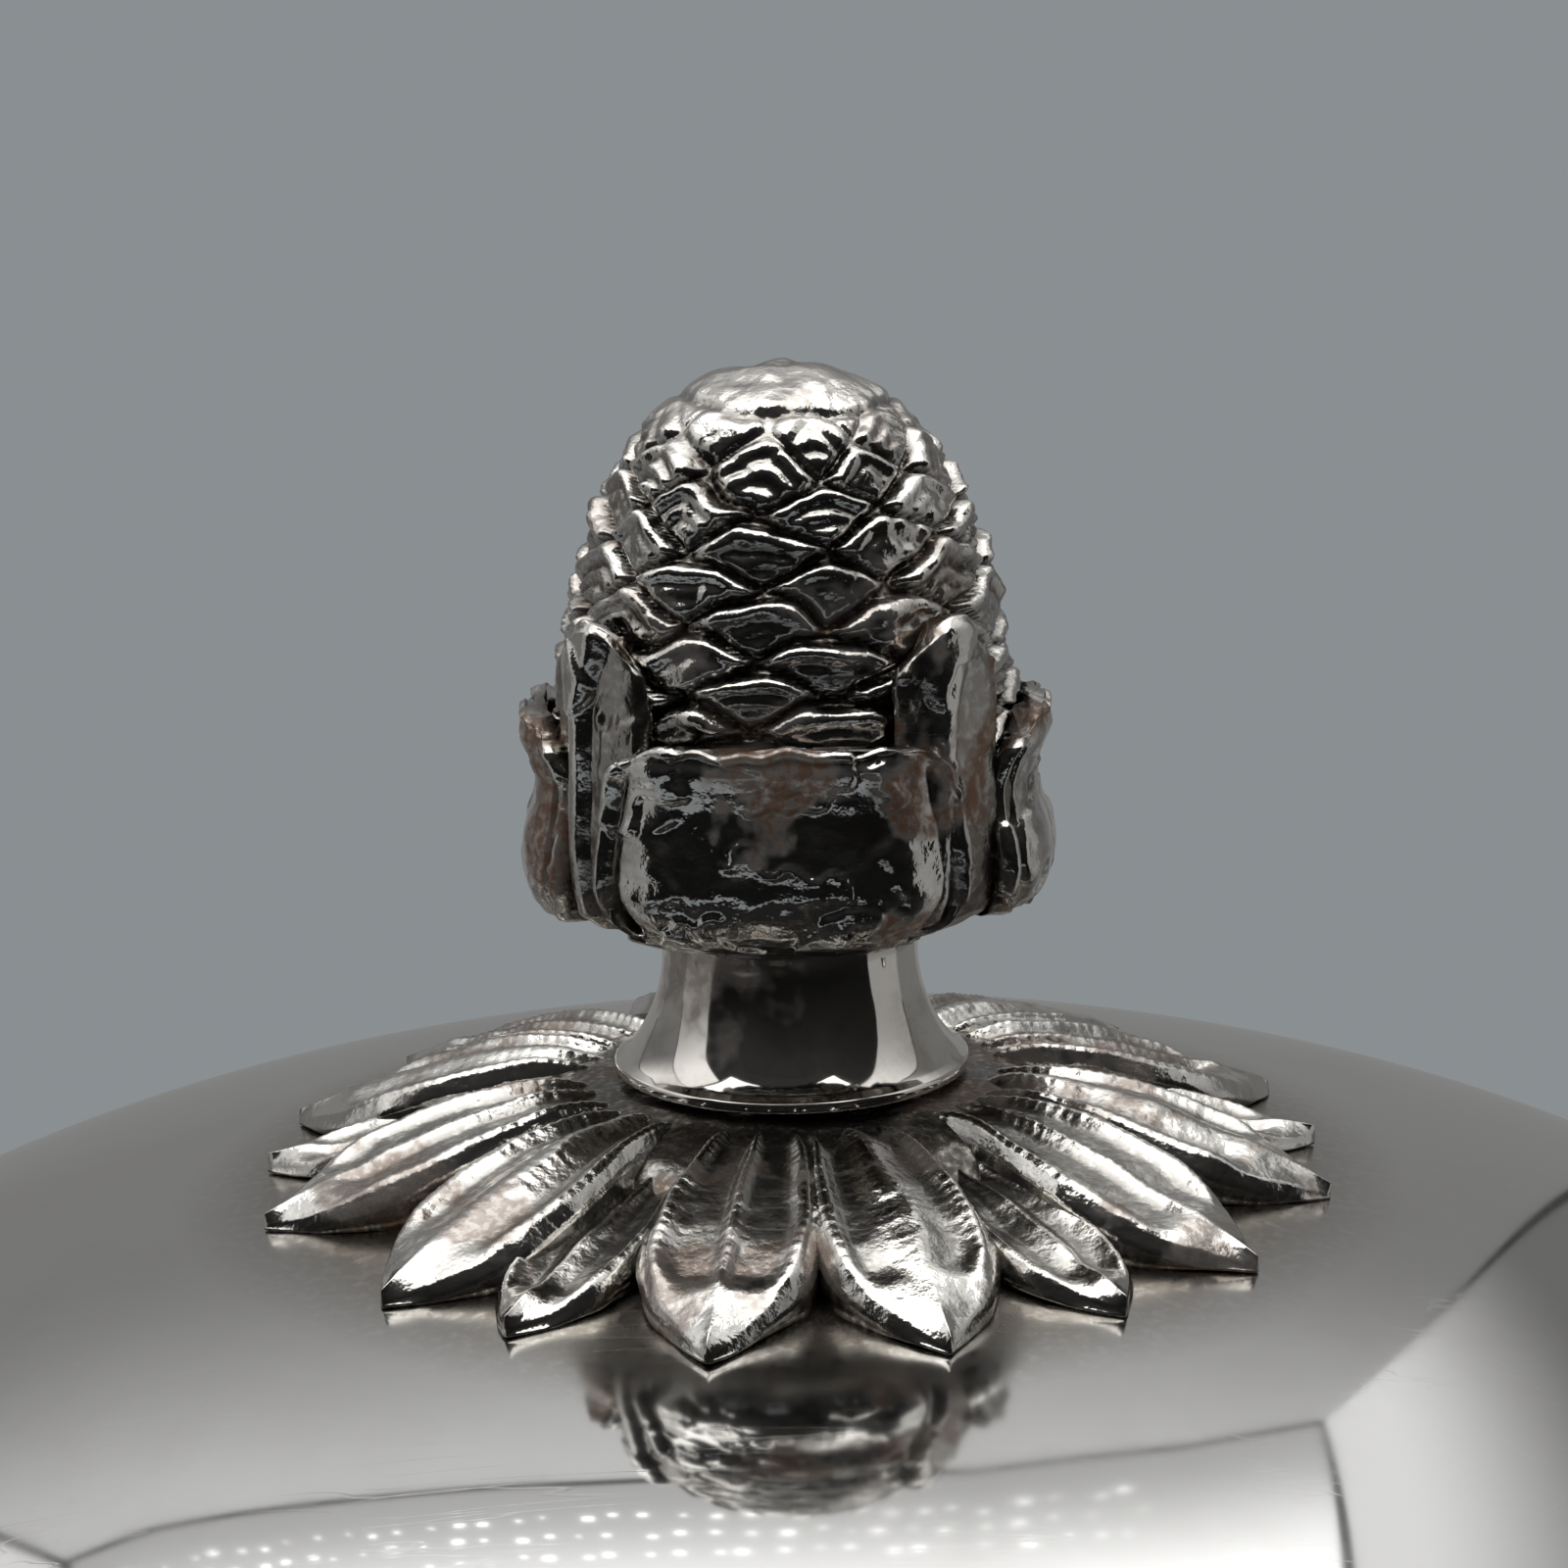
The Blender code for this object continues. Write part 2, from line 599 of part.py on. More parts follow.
def moved(place, way, distance):
    return (place[0] + distance * way[0], place[1] + distance * way[1])


def build_handle(name, side, finish):
    """A loop of round section: out of the upper leaf, over its crest, and in to the lower leaf."""
    upper, upper_way = handle_end(HANDLE_UPPER_DROP)
    lower, lower_way = handle_end(HANDLE_LOWER_DROP)
    crest = (BELLY_RADIUS + HANDLE_CREST_REACH, RIM_Z + HANDLE_CREST_RISE - HANDLE_RADIUS)
    outermost = (BELLY_RADIUS + HANDLE_REACH - HANDLE_RADIUS, RIM_Z - HANDLE_OUTER_DROP)
    turn = 0.55 * (outermost[0] - crest[0])
    drop = 0.55 * (crest[1] - outermost[1])
    inward = (-lower_way[0], -lower_way[1])
    stops = (
        (upper, HANDLE_END_RADIUS, upper_way, HANDLE_RUN, HANDLE_RUN),
        (crest, HANDLE_RADIUS, (1.0, 0.0), turn, turn),
        (outermost, HANDLE_RADIUS, (0.0, -1.0), drop, HANDLE_SWEEP),
        (lower, HANDLE_END_RADIUS, inward, HANDLE_RUN, HANDLE_RUN),
    )
    curve = bpy.data.curves.new(name, "CURVE")
    curve.dimensions = "3D"
    curve.resolution_u = 7
    curve.bevel_depth = 1.0
    curve.bevel_resolution = 2
    curve.use_fill_caps = True
    spline = curve.splines.new("BEZIER")
    spline.bezier_points.add(len(stops) - 1)
    for point, (place, radius, way, before, after) in zip(spline.bezier_points, stops):
        behind = moved(place, way, -before)
        ahead = moved(place, way, after)
        point.co = (side * place[0], 0.0, place[1])
        point.handle_left = (side * behind[0], 0.0, behind[1])
        point.handle_right = (side * ahead[0], 0.0, ahead[1])
        point.radius = radius
    curve.materials.append(finish)
    part = bpy.data.objects.new(name, curve)
    bpy.context.scene.collection.objects.link(part)
    return part


def build_handles():
    for label, side in (("left", -1), ("right", 1)):
        finish = silver("handle silver " + label, (0.78, 0.77, 0.74), 0.2)
        leaf_finish = silver("handle leaf silver " + label, (0.74, 0.72, 0.68), 0.26)
        build_handle("handle_" + label, side, finish)
        leaf_plate("handle_upper_leaf_" + label, side, HANDLE_UPPER_DROP, leaf_finish)
        leaf_plate("handle_lower_leaf_" + label, side, HANDLE_LOWER_DROP, leaf_finish)


clear_scene()
build_foot()
build_bowl()
build_handles()
build_lid()
build_rosette()
build_stem()
build_calyx()
build_cone()
build_fastening()
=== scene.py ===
from math import cos, pi, radians, sin, sqrt, tan

import bmesh
import bpy
import numpy as np
from mathutils import Matrix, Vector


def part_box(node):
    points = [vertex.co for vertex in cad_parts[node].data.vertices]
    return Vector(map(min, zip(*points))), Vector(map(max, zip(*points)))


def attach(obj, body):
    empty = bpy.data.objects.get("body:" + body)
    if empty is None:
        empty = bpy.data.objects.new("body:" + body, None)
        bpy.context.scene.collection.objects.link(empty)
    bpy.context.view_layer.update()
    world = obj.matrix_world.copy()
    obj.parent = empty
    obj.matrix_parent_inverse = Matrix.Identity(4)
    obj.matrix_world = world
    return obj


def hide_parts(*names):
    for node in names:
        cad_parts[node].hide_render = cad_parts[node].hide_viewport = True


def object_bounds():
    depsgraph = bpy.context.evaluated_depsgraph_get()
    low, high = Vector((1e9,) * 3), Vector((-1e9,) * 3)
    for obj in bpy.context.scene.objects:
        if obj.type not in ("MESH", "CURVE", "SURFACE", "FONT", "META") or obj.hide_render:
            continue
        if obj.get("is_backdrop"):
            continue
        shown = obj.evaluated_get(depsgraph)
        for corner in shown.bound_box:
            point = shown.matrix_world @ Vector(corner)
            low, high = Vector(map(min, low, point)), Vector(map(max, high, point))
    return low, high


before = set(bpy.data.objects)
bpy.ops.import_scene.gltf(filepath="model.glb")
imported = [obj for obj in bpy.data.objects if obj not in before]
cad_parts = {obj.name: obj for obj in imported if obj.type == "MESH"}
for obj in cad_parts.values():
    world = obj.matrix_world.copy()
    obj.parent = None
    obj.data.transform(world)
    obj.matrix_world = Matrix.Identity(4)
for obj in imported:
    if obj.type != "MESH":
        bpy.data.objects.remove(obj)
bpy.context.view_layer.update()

scene = bpy.context.scene


# Foot border ----------------------------------------------------------------------------------
# A cast silver border with a row of pearls, soldered round the bottom of the foot. It has a flat
# underside that the whole bowl stands on, and clouds of tarnish lie over it.

TURN_STEPS = 192


def eased(outline, radius, steps=4):
    """The same closed outline with its sharp corners rounded, except on the axis."""
    corners = np.array(outline, float)
    made = []
    for last, corner, following in zip(np.roll(corners, 1, 0), corners, np.roll(corners, -1, 0)):
        back, ahead = last - corner, following - corner
        back_length, ahead_length = np.linalg.norm(back), np.linalg.norm(ahead)
        straight = -np.dot(back, ahead) / max(back_length * ahead_length, 1e-12)
        if straight > 0.93 or corner[0] < 1e-6:
            made.append(corner)
            continue
        reach = min(radius, 0.45 * back_length, 0.45 * ahead_length)
        start = corner + back / back_length * reach
        end = corner + ahead / ahead_length * reach
        for t in np.linspace(0.0, 1.0, steps + 1):
            made.append((1 - t) ** 2 * start + 2 * t * (1 - t) * corner + t**2 * end)
    return np.array(made)


def skinned(name, grid, close_rows=True, close_columns=True, caps=False, hollow=None):
    """A smooth mesh over a grid of points, closed round its rows and, if asked, from last to first.

    hollow is how deep in a recess each point lies, from 0 to 1, which the finishes darken by. The same
    attribute on the pine cone also holds painted shadow under its scale rims.
    """
    rows, columns = grid.shape[:2]
    index = np.arange(rows * columns).reshape(rows, columns)
    down = np.roll(index, -1, 0) if close_columns else index[1:]
    up = index if close_columns else index[:-1]
    quads = np.stack([up, np.roll(up, -1, 1), np.roll(down, -1, 1), down], axis=2)
    quads = quads if close_rows else quads[:, :-1]
    faces = quads.reshape(-1, 4).tolist()
    if caps:
        faces += [index[0].tolist(), index[-1].tolist()]
    mesh = bpy.data.meshes.new(name)
    mesh.from_pydata(grid.reshape(-1, 3).tolist(), [], faces)
    if hollow is not None:
        depth = mesh.attributes.new("hollow", "FLOAT", "POINT")
        depth.data.foreach_set("value", np.asarray(hollow, np.float32).ravel())
    shape = bmesh.new()
    shape.from_mesh(mesh)
    bmesh.ops.remove_doubles(shape, verts=shape.verts, dist=1e-6)
    bmesh.ops.dissolve_degenerate(shape, edges=shape.edges, dist=1e-7)
    bmesh.ops.recalc_face_normals(shape, faces=shape.faces)
    shape.to_mesh(mesh)
    shape.free()
    mesh.shade_smooth()
    return mesh


def turned(name, outline, steps=TURN_STEPS, hollow=0.0):
    """A mesh turned round the upright axis from (radius, height) points. On the axis it closes."""
    outline = np.array(outline, float)
    turn = np.arange(steps)[:, None] * 2 * pi / steps
    radius, height = outline[:, 0][None], outline[:, 1][None]
    grid = np.stack([radius * np.sin(turn), -radius * np.cos(turn), height + 0 * turn], axis=2)
    depth = np.full(grid.shape[:2], hollow)
    return skinned(name, grid, close_rows=outline[0][0] > 0.0, hollow=depth)


def fed(tree, target, value):
    """Feeds a node's input from a value, another node's output, or a sum."""
    value = getattr(value, "socket", value)
    if isinstance(value, bpy.types.NodeSocket):
        tree.links.new(value, target)
    else:
        target.default_value = value


def add_node(tree, kind, inputs=(), **settings):
    """A node with these settings, whose inputs are values, other nodes' outputs or sums."""
    made = tree.nodes.new(kind)
    for setting, value in settings.items():
        setattr(made, setting, value)
    for place, value in dict(inputs).items():
        fed(tree, made.inputs[place], value)
    return made


def reckon(tree, operation, *values, clamp=False):
    """The result of one step of arithmetic, as a sum that can be reckoned with again."""
    inputs = dict(enumerate(values))
    step = add_node(tree, "ShaderNodeMath", inputs, operation=operation, use_clamp=clamp)
    return Sum(tree, step.outputs[0])


class Sum:
    """A number in a node tree, which takes plain arithmetic and adds the nodes for it."""

    def __init__(self, tree, socket):
        self.tree = tree
        self.socket = socket

    def __add__(self, other):
        return reckon(self.tree, "ADD", self, other)

    def __sub__(self, other):
        return reckon(self.tree, "SUBTRACT", self, other)

    def __rsub__(self, other):
        return reckon(self.tree, "SUBTRACT", other, self)

    def __mul__(self, other):
        return reckon(self.tree, "MULTIPLY", self, other)

    def __truediv__(self, other):
        return reckon(self.tree, "DIVIDE", self, other)

    def __rtruediv__(self, other):
        return reckon(self.tree, "DIVIDE", other, self)

    __radd__ = __add__
    __rmul__ = __mul__


KINDS = {
    "number": "NodeSocketFloat", "count": "NodeSocketInt", "place": "NodeSocketVector",
    "colour": "NodeSocketColor", "shape": "NodeSocketGeometry", "object": "NodeSocketObject",
    "finish": "NodeSocketMaterial",
}


def new_group(name, kind, inputs, outputs):
    """A node group with named inputs, given as name: (kind, value), and outputs as name: kind."""
    tree = bpy.data.node_groups.new(name, kind)
    for label, (sort, *value) in inputs.items():
        socket = tree.interface.new_socket(label, in_out="INPUT", socket_type=KINDS[sort])
        if value:
            socket.default_value = value[0]
    for label, sort in outputs.items():
        tree.interface.new_socket(label, in_out="OUTPUT", socket_type=KINDS[sort])
    given = tree.nodes.new("NodeGroupInput").outputs
    given = {socket.name: Sum(tree, socket) for socket in given if socket.name}
    return tree, given, tree.nodes.new("NodeGroupOutput").inputs


def carried_out(name, mesh, tree, values):
    """The mesh that a geometry tree makes from this one, as a plain mesh."""
    blank = bpy.data.objects.new(name + " blank", mesh)
    scene.collection.objects.link(blank)
    modifier = blank.modifiers.new(tree.name, "NODES")
    modifier.node_group = tree
    for item in tree.interface.items_tree:
        if item.in_out == "INPUT" and item.name in values:
            modifier[item.identifier] = values[item.name]
    bpy.context.view_layer.update()
    graph = bpy.context.evaluated_depsgraph_get()
    made = bpy.data.meshes.new_from_object(
        blank.evaluated_get(graph), preserve_all_data_layers=True, depsgraph=graph
    )
    blank.modifiers.remove(modifier)
    bpy.data.objects.remove(blank)
    made.name = name
    return made


def add_piece(name, mesh, finish, body, slot, *nodes):
    """Puts a finished mesh in the scene, on its body and in place of its CAD nodes."""
    if finish.name not in mesh.materials:
        mesh.materials.clear()
        mesh.materials.append(finish)
    piece = bpy.data.objects.new(name, mesh)
    scene.collection.objects.link(piece)
    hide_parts(*nodes)
    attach(piece, body)
    return piece


def add_turned(name, outline, rounding, finish, body, slot, node):
    """A turned piece with rounded corners."""
    add_piece(name, turned(name, eased(outline, rounding)), finish, body, slot, node)


# Silver as it looks after years of use: tarnish in recesses and in clouds, rubbed high places,
# fine scratches both ways, a grain left by the casting or the chasing tool, and soft dents. The
# recess input also carries painted shadow, which darkens to the tarnish colour in the same way.
worn, given, results = new_group(
    "worn_silver",
    "ShaderNodeTree",
    {
        "Place": ("place",), "Hollow": ("number", 0.0), "Silver": ("colour", (0.8, 0.79, 0.76, 1.0)),
        "Tarnish": ("colour", (0.1, 0.08, 0.06, 1.0)), "Tarnish Cover": ("number", 0.2),
        "Stain": ("colour", (0.15, 0.065, 0.028, 1.0)), "Stain Cover": ("number", 0.0),
        "Cloud Size": ("number", 0.006), "Roughness": ("number", 0.1), "Dulling": ("number", 0.3),
        "Grain Size": ("number", 0.0005), "Grain Depth": ("number", 0.0),
        "Dent Size": ("number", 0.012), "Dent Depth": ("number", 0.0), "Scratches": ("number", 0.3),
    },
    {"Color": "colour", "Metal": "number", "Roughness": "number", "Height": "number"},
)
STAIN_PLACE = (0.302, 0.17, 0.0493)  # shifts the noise so that a stain falls on the front leaf
SCRATCH_STRETCH = (0.018, 1.0, 1.0)
SCRATCH_DEPTH = 0.0000012


def speckle(tree, place, size, detail, roughness=0.55):
    """Even noise from 0 to 1 whose features are about this size."""
    inputs = {"Vector": place, "Scale": 1.0 / size, "Detail": detail, "Roughness": roughness}
    return Sum(tree, add_node(tree, "ShaderNodeTexNoise", inputs).outputs["Fac"])


def between(tree, value, low, high, to_low=0.0, to_high=1.0):
    """The value's place between two limits, smoothly, and no further."""
    inputs = {"Value": value, 1: low, 2: high, 3: to_low, 4: to_high}
    ramp = add_node(tree, "ShaderNodeMapRange", inputs, interpolation_type="SMOOTHSTEP")
    return Sum(tree, ramp.outputs[0])


def scratch_lines(tree, place, turn, spacing):
    """Thin lines that run one way, broken where the silver was rubbed less."""
    along = {"Vector": place, "Rotation": turn, "Scale": SCRATCH_STRETCH}
    stretched = add_node(tree, "ShaderNodeMapping", along).outputs[0]
    line = reckon(tree, "ABSOLUTE", speckle(tree, stretched, spacing, 1.0) - 0.5)
    rubbed = between(tree, speckle(tree, place, spacing * 14, 2.0), 0.5, 0.68)
    return between(tree, line, 0.0, 0.014, 1.0, 0.0) * rubbed


def tinted(tree, share, under, over):
    """One colour laid over another by a share from 0 to 1."""
    laid = add_node(tree, "ShaderNodeMix", {0: share, 6: under, 7: over}, data_type="RGBA")
    return laid.outputs[2]


place = given["Place"]
clouds = speckle(worn, place, given["Cloud Size"], 5.0, 0.62)
grain = speckle(worn, place, given["Grain Size"], 2.0)
dents = speckle(worn, place, given["Dent Size"], 1.0, 0.4)
falling = scratch_lines(worn, place, (0.3, 0.2, 0.6), 0.0011)
rising = scratch_lines(worn, place, (1.1, -0.4, -0.9), 0.0008)
lines = reckon(worn, "MAXIMUM", falling, rising) * given["Scratches"]
thin = between(worn, clouds, 0.42, 0.72)
thin = reckon(worn, "MULTIPLY", thin, given["Tarnish Cover"], clamp=True)
# The hollow input darkens towards the tarnish colour: patina in real recesses, and painted shadow where a
# piece stores it there, as under the pine cone's scale rims.
thick = given["Hollow"] * between(worn, grain, 0.15, 0.6, 0.45, 1.0)
tarnish_and_shade = reckon(worn, "MAXIMUM", thick, thin, clamp=True)
shifted = add_node(worn, "ShaderNodeVectorMath", {0: place, 1: STAIN_PLACE}).outputs[0]
patches = speckle(worn, shifted, given["Cloud Size"] * 2.2, 4.0, 0.6)
brown = between(worn, patches, 0.52, 0.60) * given["Stain Cover"]
brown = brown * between(worn, grain, 0.38, 0.56, 0.65, 1.0)
tint = tinted(worn, tarnish_and_shade, given["Silver"], given["Tarnish"])
tint = tinted(worn, brown, tint, given["Stain"])
dull = reckon(worn, "MAXIMUM", tarnish_and_shade, brown) * given["Dulling"] + given["Roughness"]
fed(worn, results["Color"], tint)
fed(worn, results["Metal"], brown * -0.75 + 1.0)
fed(worn, results["Roughness"], dull + lines * 0.22 + (clouds - 0.5) * 0.05)
height = dents * given["Dent Depth"] + grain * given["Grain Depth"] - lines * SCRATCH_DEPTH
fed(worn, results["Height"], height)


def silver(name, colour, tarnish_and_shade, roughness, **wear_values):
    """A silver finish in which only the wear differs from one piece to the next."""
    finish = bpy.data.materials.new(name)
    finish.use_nodes = True
    tree = finish.node_tree
    shader = tree.nodes["Principled BSDF"].inputs
    wear = add_node(tree, "ShaderNodeGroup", node_tree=worn)
    place = add_node(tree, "ShaderNodeTexCoord").outputs["Object"]
    hollow = add_node(tree, "ShaderNodeAttribute", attribute_name="hollow").outputs["Fac"]
    fed(tree, wear.inputs["Place"], place)
    fed(tree, wear.inputs["Hollow"], hollow)
    fed(tree, wear.inputs["Silver"], (*colour, 1.0))
    fed(tree, wear.inputs["Tarnish"], (*tarnish_and_shade, 1.0))
    fed(tree, wear.inputs["Roughness"], roughness)
    for label, value in wear_values.items():
        fed(tree, wear.inputs[label.replace("_", " ").title()], value)
    relief = add_node(tree, "ShaderNodeBump", {"Height": wear.outputs["Height"], "Distance": 1.0})
    fed(tree, shader["Base Color"], wear.outputs["Color"])
    fed(tree, shader["Metallic"], wear.outputs["Metal"])
    fed(tree, shader["Roughness"], wear.outputs["Roughness"])
    fed(tree, shader["Normal"], relief.outputs["Normal"])
    return finish


pearled, given, results = new_group(
    "pearled_border",
    "GeometryNodeTree",
    {
        "Border": ("shape",), "Row Radius": ("number", 0.04), "Row Height": ("number", 0.002),
        "Pearl Radius": ("number", 0.001), "Pearls": ("count", 128), "Seed": ("count", 4),
        "Finish": ("finish",),
    },
    {"Border": "shape"},
)


def laid_out(tree, points, shape, **more):
    """A copy of a shape at each point."""
    inputs = {"Points": points, "Instance": shape, **more}
    return add_node(tree, "GeometryNodeInstanceOnPoints", inputs).outputs[0]


def pushed(tree, shape, offset):
    """The shape with each of its points moved."""
    inputs = {"Geometry": shape, "Offset": offset}
    return add_node(tree, "GeometryNodeSetPosition", inputs).outputs[0]


def joined(tree, *shapes):
    """Several shapes as one, each copy made real."""
    together = add_node(tree, "GeometryNodeJoinGeometry")
    for shape in shapes:
        fed(tree, together.inputs[0], shape)
    made = add_node(tree, "GeometryNodeRealizeInstances", {"Geometry": together.outputs[0]})
    return made.outputs[0]


def coated(tree, shape, finish):
    """The shape in its finish."""
    inputs = {"Geometry": shape, "Material": finish}
    return add_node(tree, "GeometryNodeSetMaterial", inputs).outputs[0]


def drawn_lots(tree, low, high, seed):
    """A random number between two limits for each point."""
    inputs = {2: low, 3: high, "Seed": seed}
    lots = add_node(tree, "FunctionNodeRandomValue", inputs, data_type="FLOAT")
    return Sum(tree, lots.outputs[1])


row = {"Vertices": given["Pearls"], "Radius": given["Row Radius"]}
row = add_node(pearled, "GeometryNodeMeshCircle", row).outputs[0]
lift = add_node(pearled, "ShaderNodeCombineXYZ", {"Z": given["Row Height"]}).outputs[0]
pearl = {"Segments": 8, "Rings": 6, "Radius": given["Pearl Radius"]}
pearl = add_node(pearled, "GeometryNodeMeshUVSphere", pearl).outputs[0]
pearl = add_node(pearled, "GeometryNodeSetShadeSmooth", {"Geometry": pearl}).outputs[0]
size = drawn_lots(pearled, 0.93, 1.0, given["Seed"])
pearls = laid_out(pearled, pushed(pearled, row, lift), pearl, Scale=size)
solid = joined(pearled, given["Border"], pearls)
fed(pearled, results[0], coated(pearled, solid, given["Finish"]))

border_silver = silver(
    "border silver", (0.72, 0.71, 0.68), (0.10, 0.08, 0.055), 0.15, tarnish_cover=0.45,
    cloud_size=0.004, scratches=0.4,
)
border_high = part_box("foot_base_wire")[1]
border_outer = border_high.x
border_top = border_high.z
FOOT_BORDER_WIDTH = 0.0050
FOOT_PEARL_RADIUS = 0.00095
outline = eased(
    [
        (border_outer - FOOT_BORDER_WIDTH, border_top), (border_outer - 0.0016, border_top),
        (border_outer - 0.0013, border_top - 0.0005), (border_outer - 0.0016, border_top - 0.0008),
        (border_outer - 0.0016, 0.0012), (border_outer - 0.0004, 0.0010), (border_outer, 0.0006),
        (border_outer, 0.0), (border_outer - FOOT_BORDER_WIDTH, 0.0),
    ],
    0.0003,
)
foot_border = carried_out(
    "foot_border",
    turned("foot_border", outline),
    pearled,
    {
        "Row Radius": border_outer - FOOT_PEARL_RADIUS - 0.0002, "Row Height": 0.0020,
        "Pearl Radius": FOOT_PEARL_RADIUS, "Pearls": 128, "Finish": border_silver,
    },
)
add_piece("foot_border", foot_border, border_silver, "bowl", "wire_silver", "foot_base_wire")


# Foot -----------------------------------------------------------------------------------------
# A pedestal spun from sheet silver: a plain ledge round its edge, a long sweep up to its waist,
# and a flared top. The turned collar above it is soldered between the pedestal and the bowl.


def arc(start, pull, push, end, count, first=0):
    """Points along a cubic arc from start to end, whose two controls are pull and push."""
    t = np.arange(first, count + 1)[:, None] / count
    start, pull, push, end = (np.array(corner) for corner in (start, pull, push, end))
    return (
        (1 - t) ** 3 * start
        + 3 * t * (1 - t) ** 2 * pull
        + 3 * t**2 * (1 - t) * push
        + t**3 * end
    ).tolist()


def inset(outline, distance):
    """The same open outline moved to the left of the way it runs, with mitred corners."""
    line = np.array(outline)
    along = np.diff(line, axis=0)
    along /= np.linalg.norm(along, axis=1)[:, None]
    left = np.stack([-along[:, 1], along[:, 0]], axis=1)
    before, after = np.vstack([left[:1], left]), np.vstack([left, left[-1:]])
    middle = before + after
    middle /= np.linalg.norm(middle, axis=1)[:, None]
    return (line + middle * (distance / np.sum(middle * before, axis=1))[:, None]).tolist()


SHEET = 0.0010
FOOT_WAIST = 0.0105
FOOT_WAIST_DROP = 0.0060
FOOT_LIP = 0.0018
LEDGE_WIDTH = 0.0028
LEDGE_RISE = 0.0042
foot_low, foot_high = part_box("foot_pedestal")
rim = foot_high.x
edge = foot_low.z
top = foot_high.z
waist = (FOOT_WAIST, top - FOOT_WAIST_DROP)
shoulder = (rim - LEDGE_WIDTH, edge + LEDGE_RISE)
fall = 0.58 * (waist[1] - shoulder[1])
spread = 0.45 * (shoulder[0] - waist[0])
outer = arc((FOOT_WAIST + FOOT_LIP, top), (FOOT_WAIST + 0.0006, top - 0.0012),
            (FOOT_WAIST, top - 0.0035), waist, 8)
outer += arc(
    waist, (waist[0], waist[1] - fall), (shoulder[0] - spread, shoulder[1] + 0.0015), shoulder, 44, 1,
)
outer += [(rim, edge + 0.6 * LEDGE_RISE), (rim, edge)]
inner = inset(outer, -SHEET)
inner[0][1] = top
inner[-1][1] = edge
foot_silver = silver(
    "foot silver", (0.73, 0.725, 0.71), (0.24, 0.20, 0.15), 0.09, tarnish_cover=0.25, cloud_size=0.012,
    dent_depth=0.00004, scratches=0.5,
)
add_turned(
    "foot_pedestal_spun", outer + inner[::-1], 0.0004, foot_silver, "bowl", "foot_silver", "foot_pedestal"
)

collar_low, collar_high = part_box("foot_collar")
COLLAR_BORE = 0.0072
reach = collar_high.x - 0.0002
low, high = collar_low.z, collar_high.z
bead = [(reach - 0.0012 + 0.0012 * cos(t), (low + high) / 2 + 0.0012 * sin(t))
        for t in np.linspace(1.35, -1.35, 13)]
outline = [(COLLAR_BORE, high), (reach - 0.0006, high), (reach - 0.0006, high - 0.0008),
           (reach - 0.0012, high - 0.0010)]
outline += bead
outline += [(reach - 0.0012, low + 0.0010), (reach - 0.0022, low + 0.0008),
            (reach - 0.0030, low), (COLLAR_BORE, low)]
add_turned("foot_collar_turned", outline, 0.00025, border_silver, "bowl", "wire_silver", "foot_collar")


# Bowl -----------------------------------------------------------------------------------------
# A round bowl raised from sheet silver, with a drawn neck and a full belly. A pearled wire is
# soldered round its mouth, and the lid's moulding rests on that edge.

MOUTH_RADIUS = 0.0562
NECK_RADIUS = 0.0544
NECK_DROP = 0.0095
BELLY_DROP = 0.0300
SEAT_RADIUS = 0.0140
WIRE_HEIGHT = 0.0034
shell_low, shell_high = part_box("bowl_shell")
rim_z = shell_high.z
belly_radius = shell_high.x
lip = (MOUTH_RADIUS, rim_z - WIRE_HEIGHT)
neck = (NECK_RADIUS, rim_z - NECK_DROP)
belly = (belly_radius, rim_z - BELLY_DROP)
seat = (SEAT_RADIUS, shell_low.z)
flare = (lip[1] - neck[1]) / 3
fall = 0.42 * (neck[1] - belly[1])
drop = 0.55 * (belly[1] - seat[1])
spread = 0.55 * (belly[0] - seat[0])
bowl_side = arc(lip, (lip[0], lip[1] - flare), (neck[0], neck[1] + flare), neck, 12)
bowl_side += arc(neck, (neck[0], neck[1] - fall), (belly[0], belly[1] + fall), belly, 20, 1)
bowl_side += arc(belly, (belly[0], belly[1] - drop), (seat[0] + spread, seat[1]), seat, 48, 1)
outer = [(MOUTH_RADIUS, rim_z)] + bowl_side
inner = inset(outer + [(0.0, seat[1])], -SHEET)
inner[0] = (MOUTH_RADIUS - SHEET, rim_z)
inner[-1] = (0.0, seat[1] + SHEET)
outline = [(0.0, seat[1])] + outer[::-1] + inner
bowl_silver = silver(
    "bowl silver", (0.73, 0.725, 0.71), (0.26, 0.22, 0.17), 0.08, tarnish_cover=0.18, cloud_size=0.016,
    dent_depth=0.00005, scratches=0.5,
)
add_turned("bowl_raised", outline, 0.0003, bowl_silver, "bowl", "bowl_silver", "bowl_shell")

MOUTH_PEARL_RADIUS = 0.00105
wire_low, wire_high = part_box("bowl_rim_wire")
bore = MOUTH_RADIUS + 0.0003
reach = wire_high.x
outline = eased(
    [
        (bore, wire_high.z), (reach - 0.0008, wire_high.z), (reach - 0.0005, wire_high.z - 0.0004),
        (reach - 0.0014, wire_high.z - 0.0007), (reach - 0.0014, wire_low.z + 0.0007),
        (reach - 0.0008, wire_low.z + 0.0004), (reach - 0.0012, wire_low.z), (bore, wire_low.z),
    ],
    0.0002,
)
mouth_border = carried_out(
    "mouth_border",
    turned("mouth_border", outline),
    pearled,
    {
        "Row Radius": reach - MOUTH_PEARL_RADIUS - 0.0001, "Row Height": (wire_low.z + wire_high.z) / 2,
        "Pearl Radius": MOUTH_PEARL_RADIUS, "Pearls": 172, "Finish": border_silver,
    },
)
add_piece("mouth_border", mouth_border, border_silver, "bowl", "wire_silver", "bowl_rim_wire")


# Handle leaves --------------------------------------------------------------------------------
# Four cast leaves soldered to the bowl's side, each with its broad end behind a handle. They are
# lobed, veined with a chasing tool, and follow the curve of the bowl.

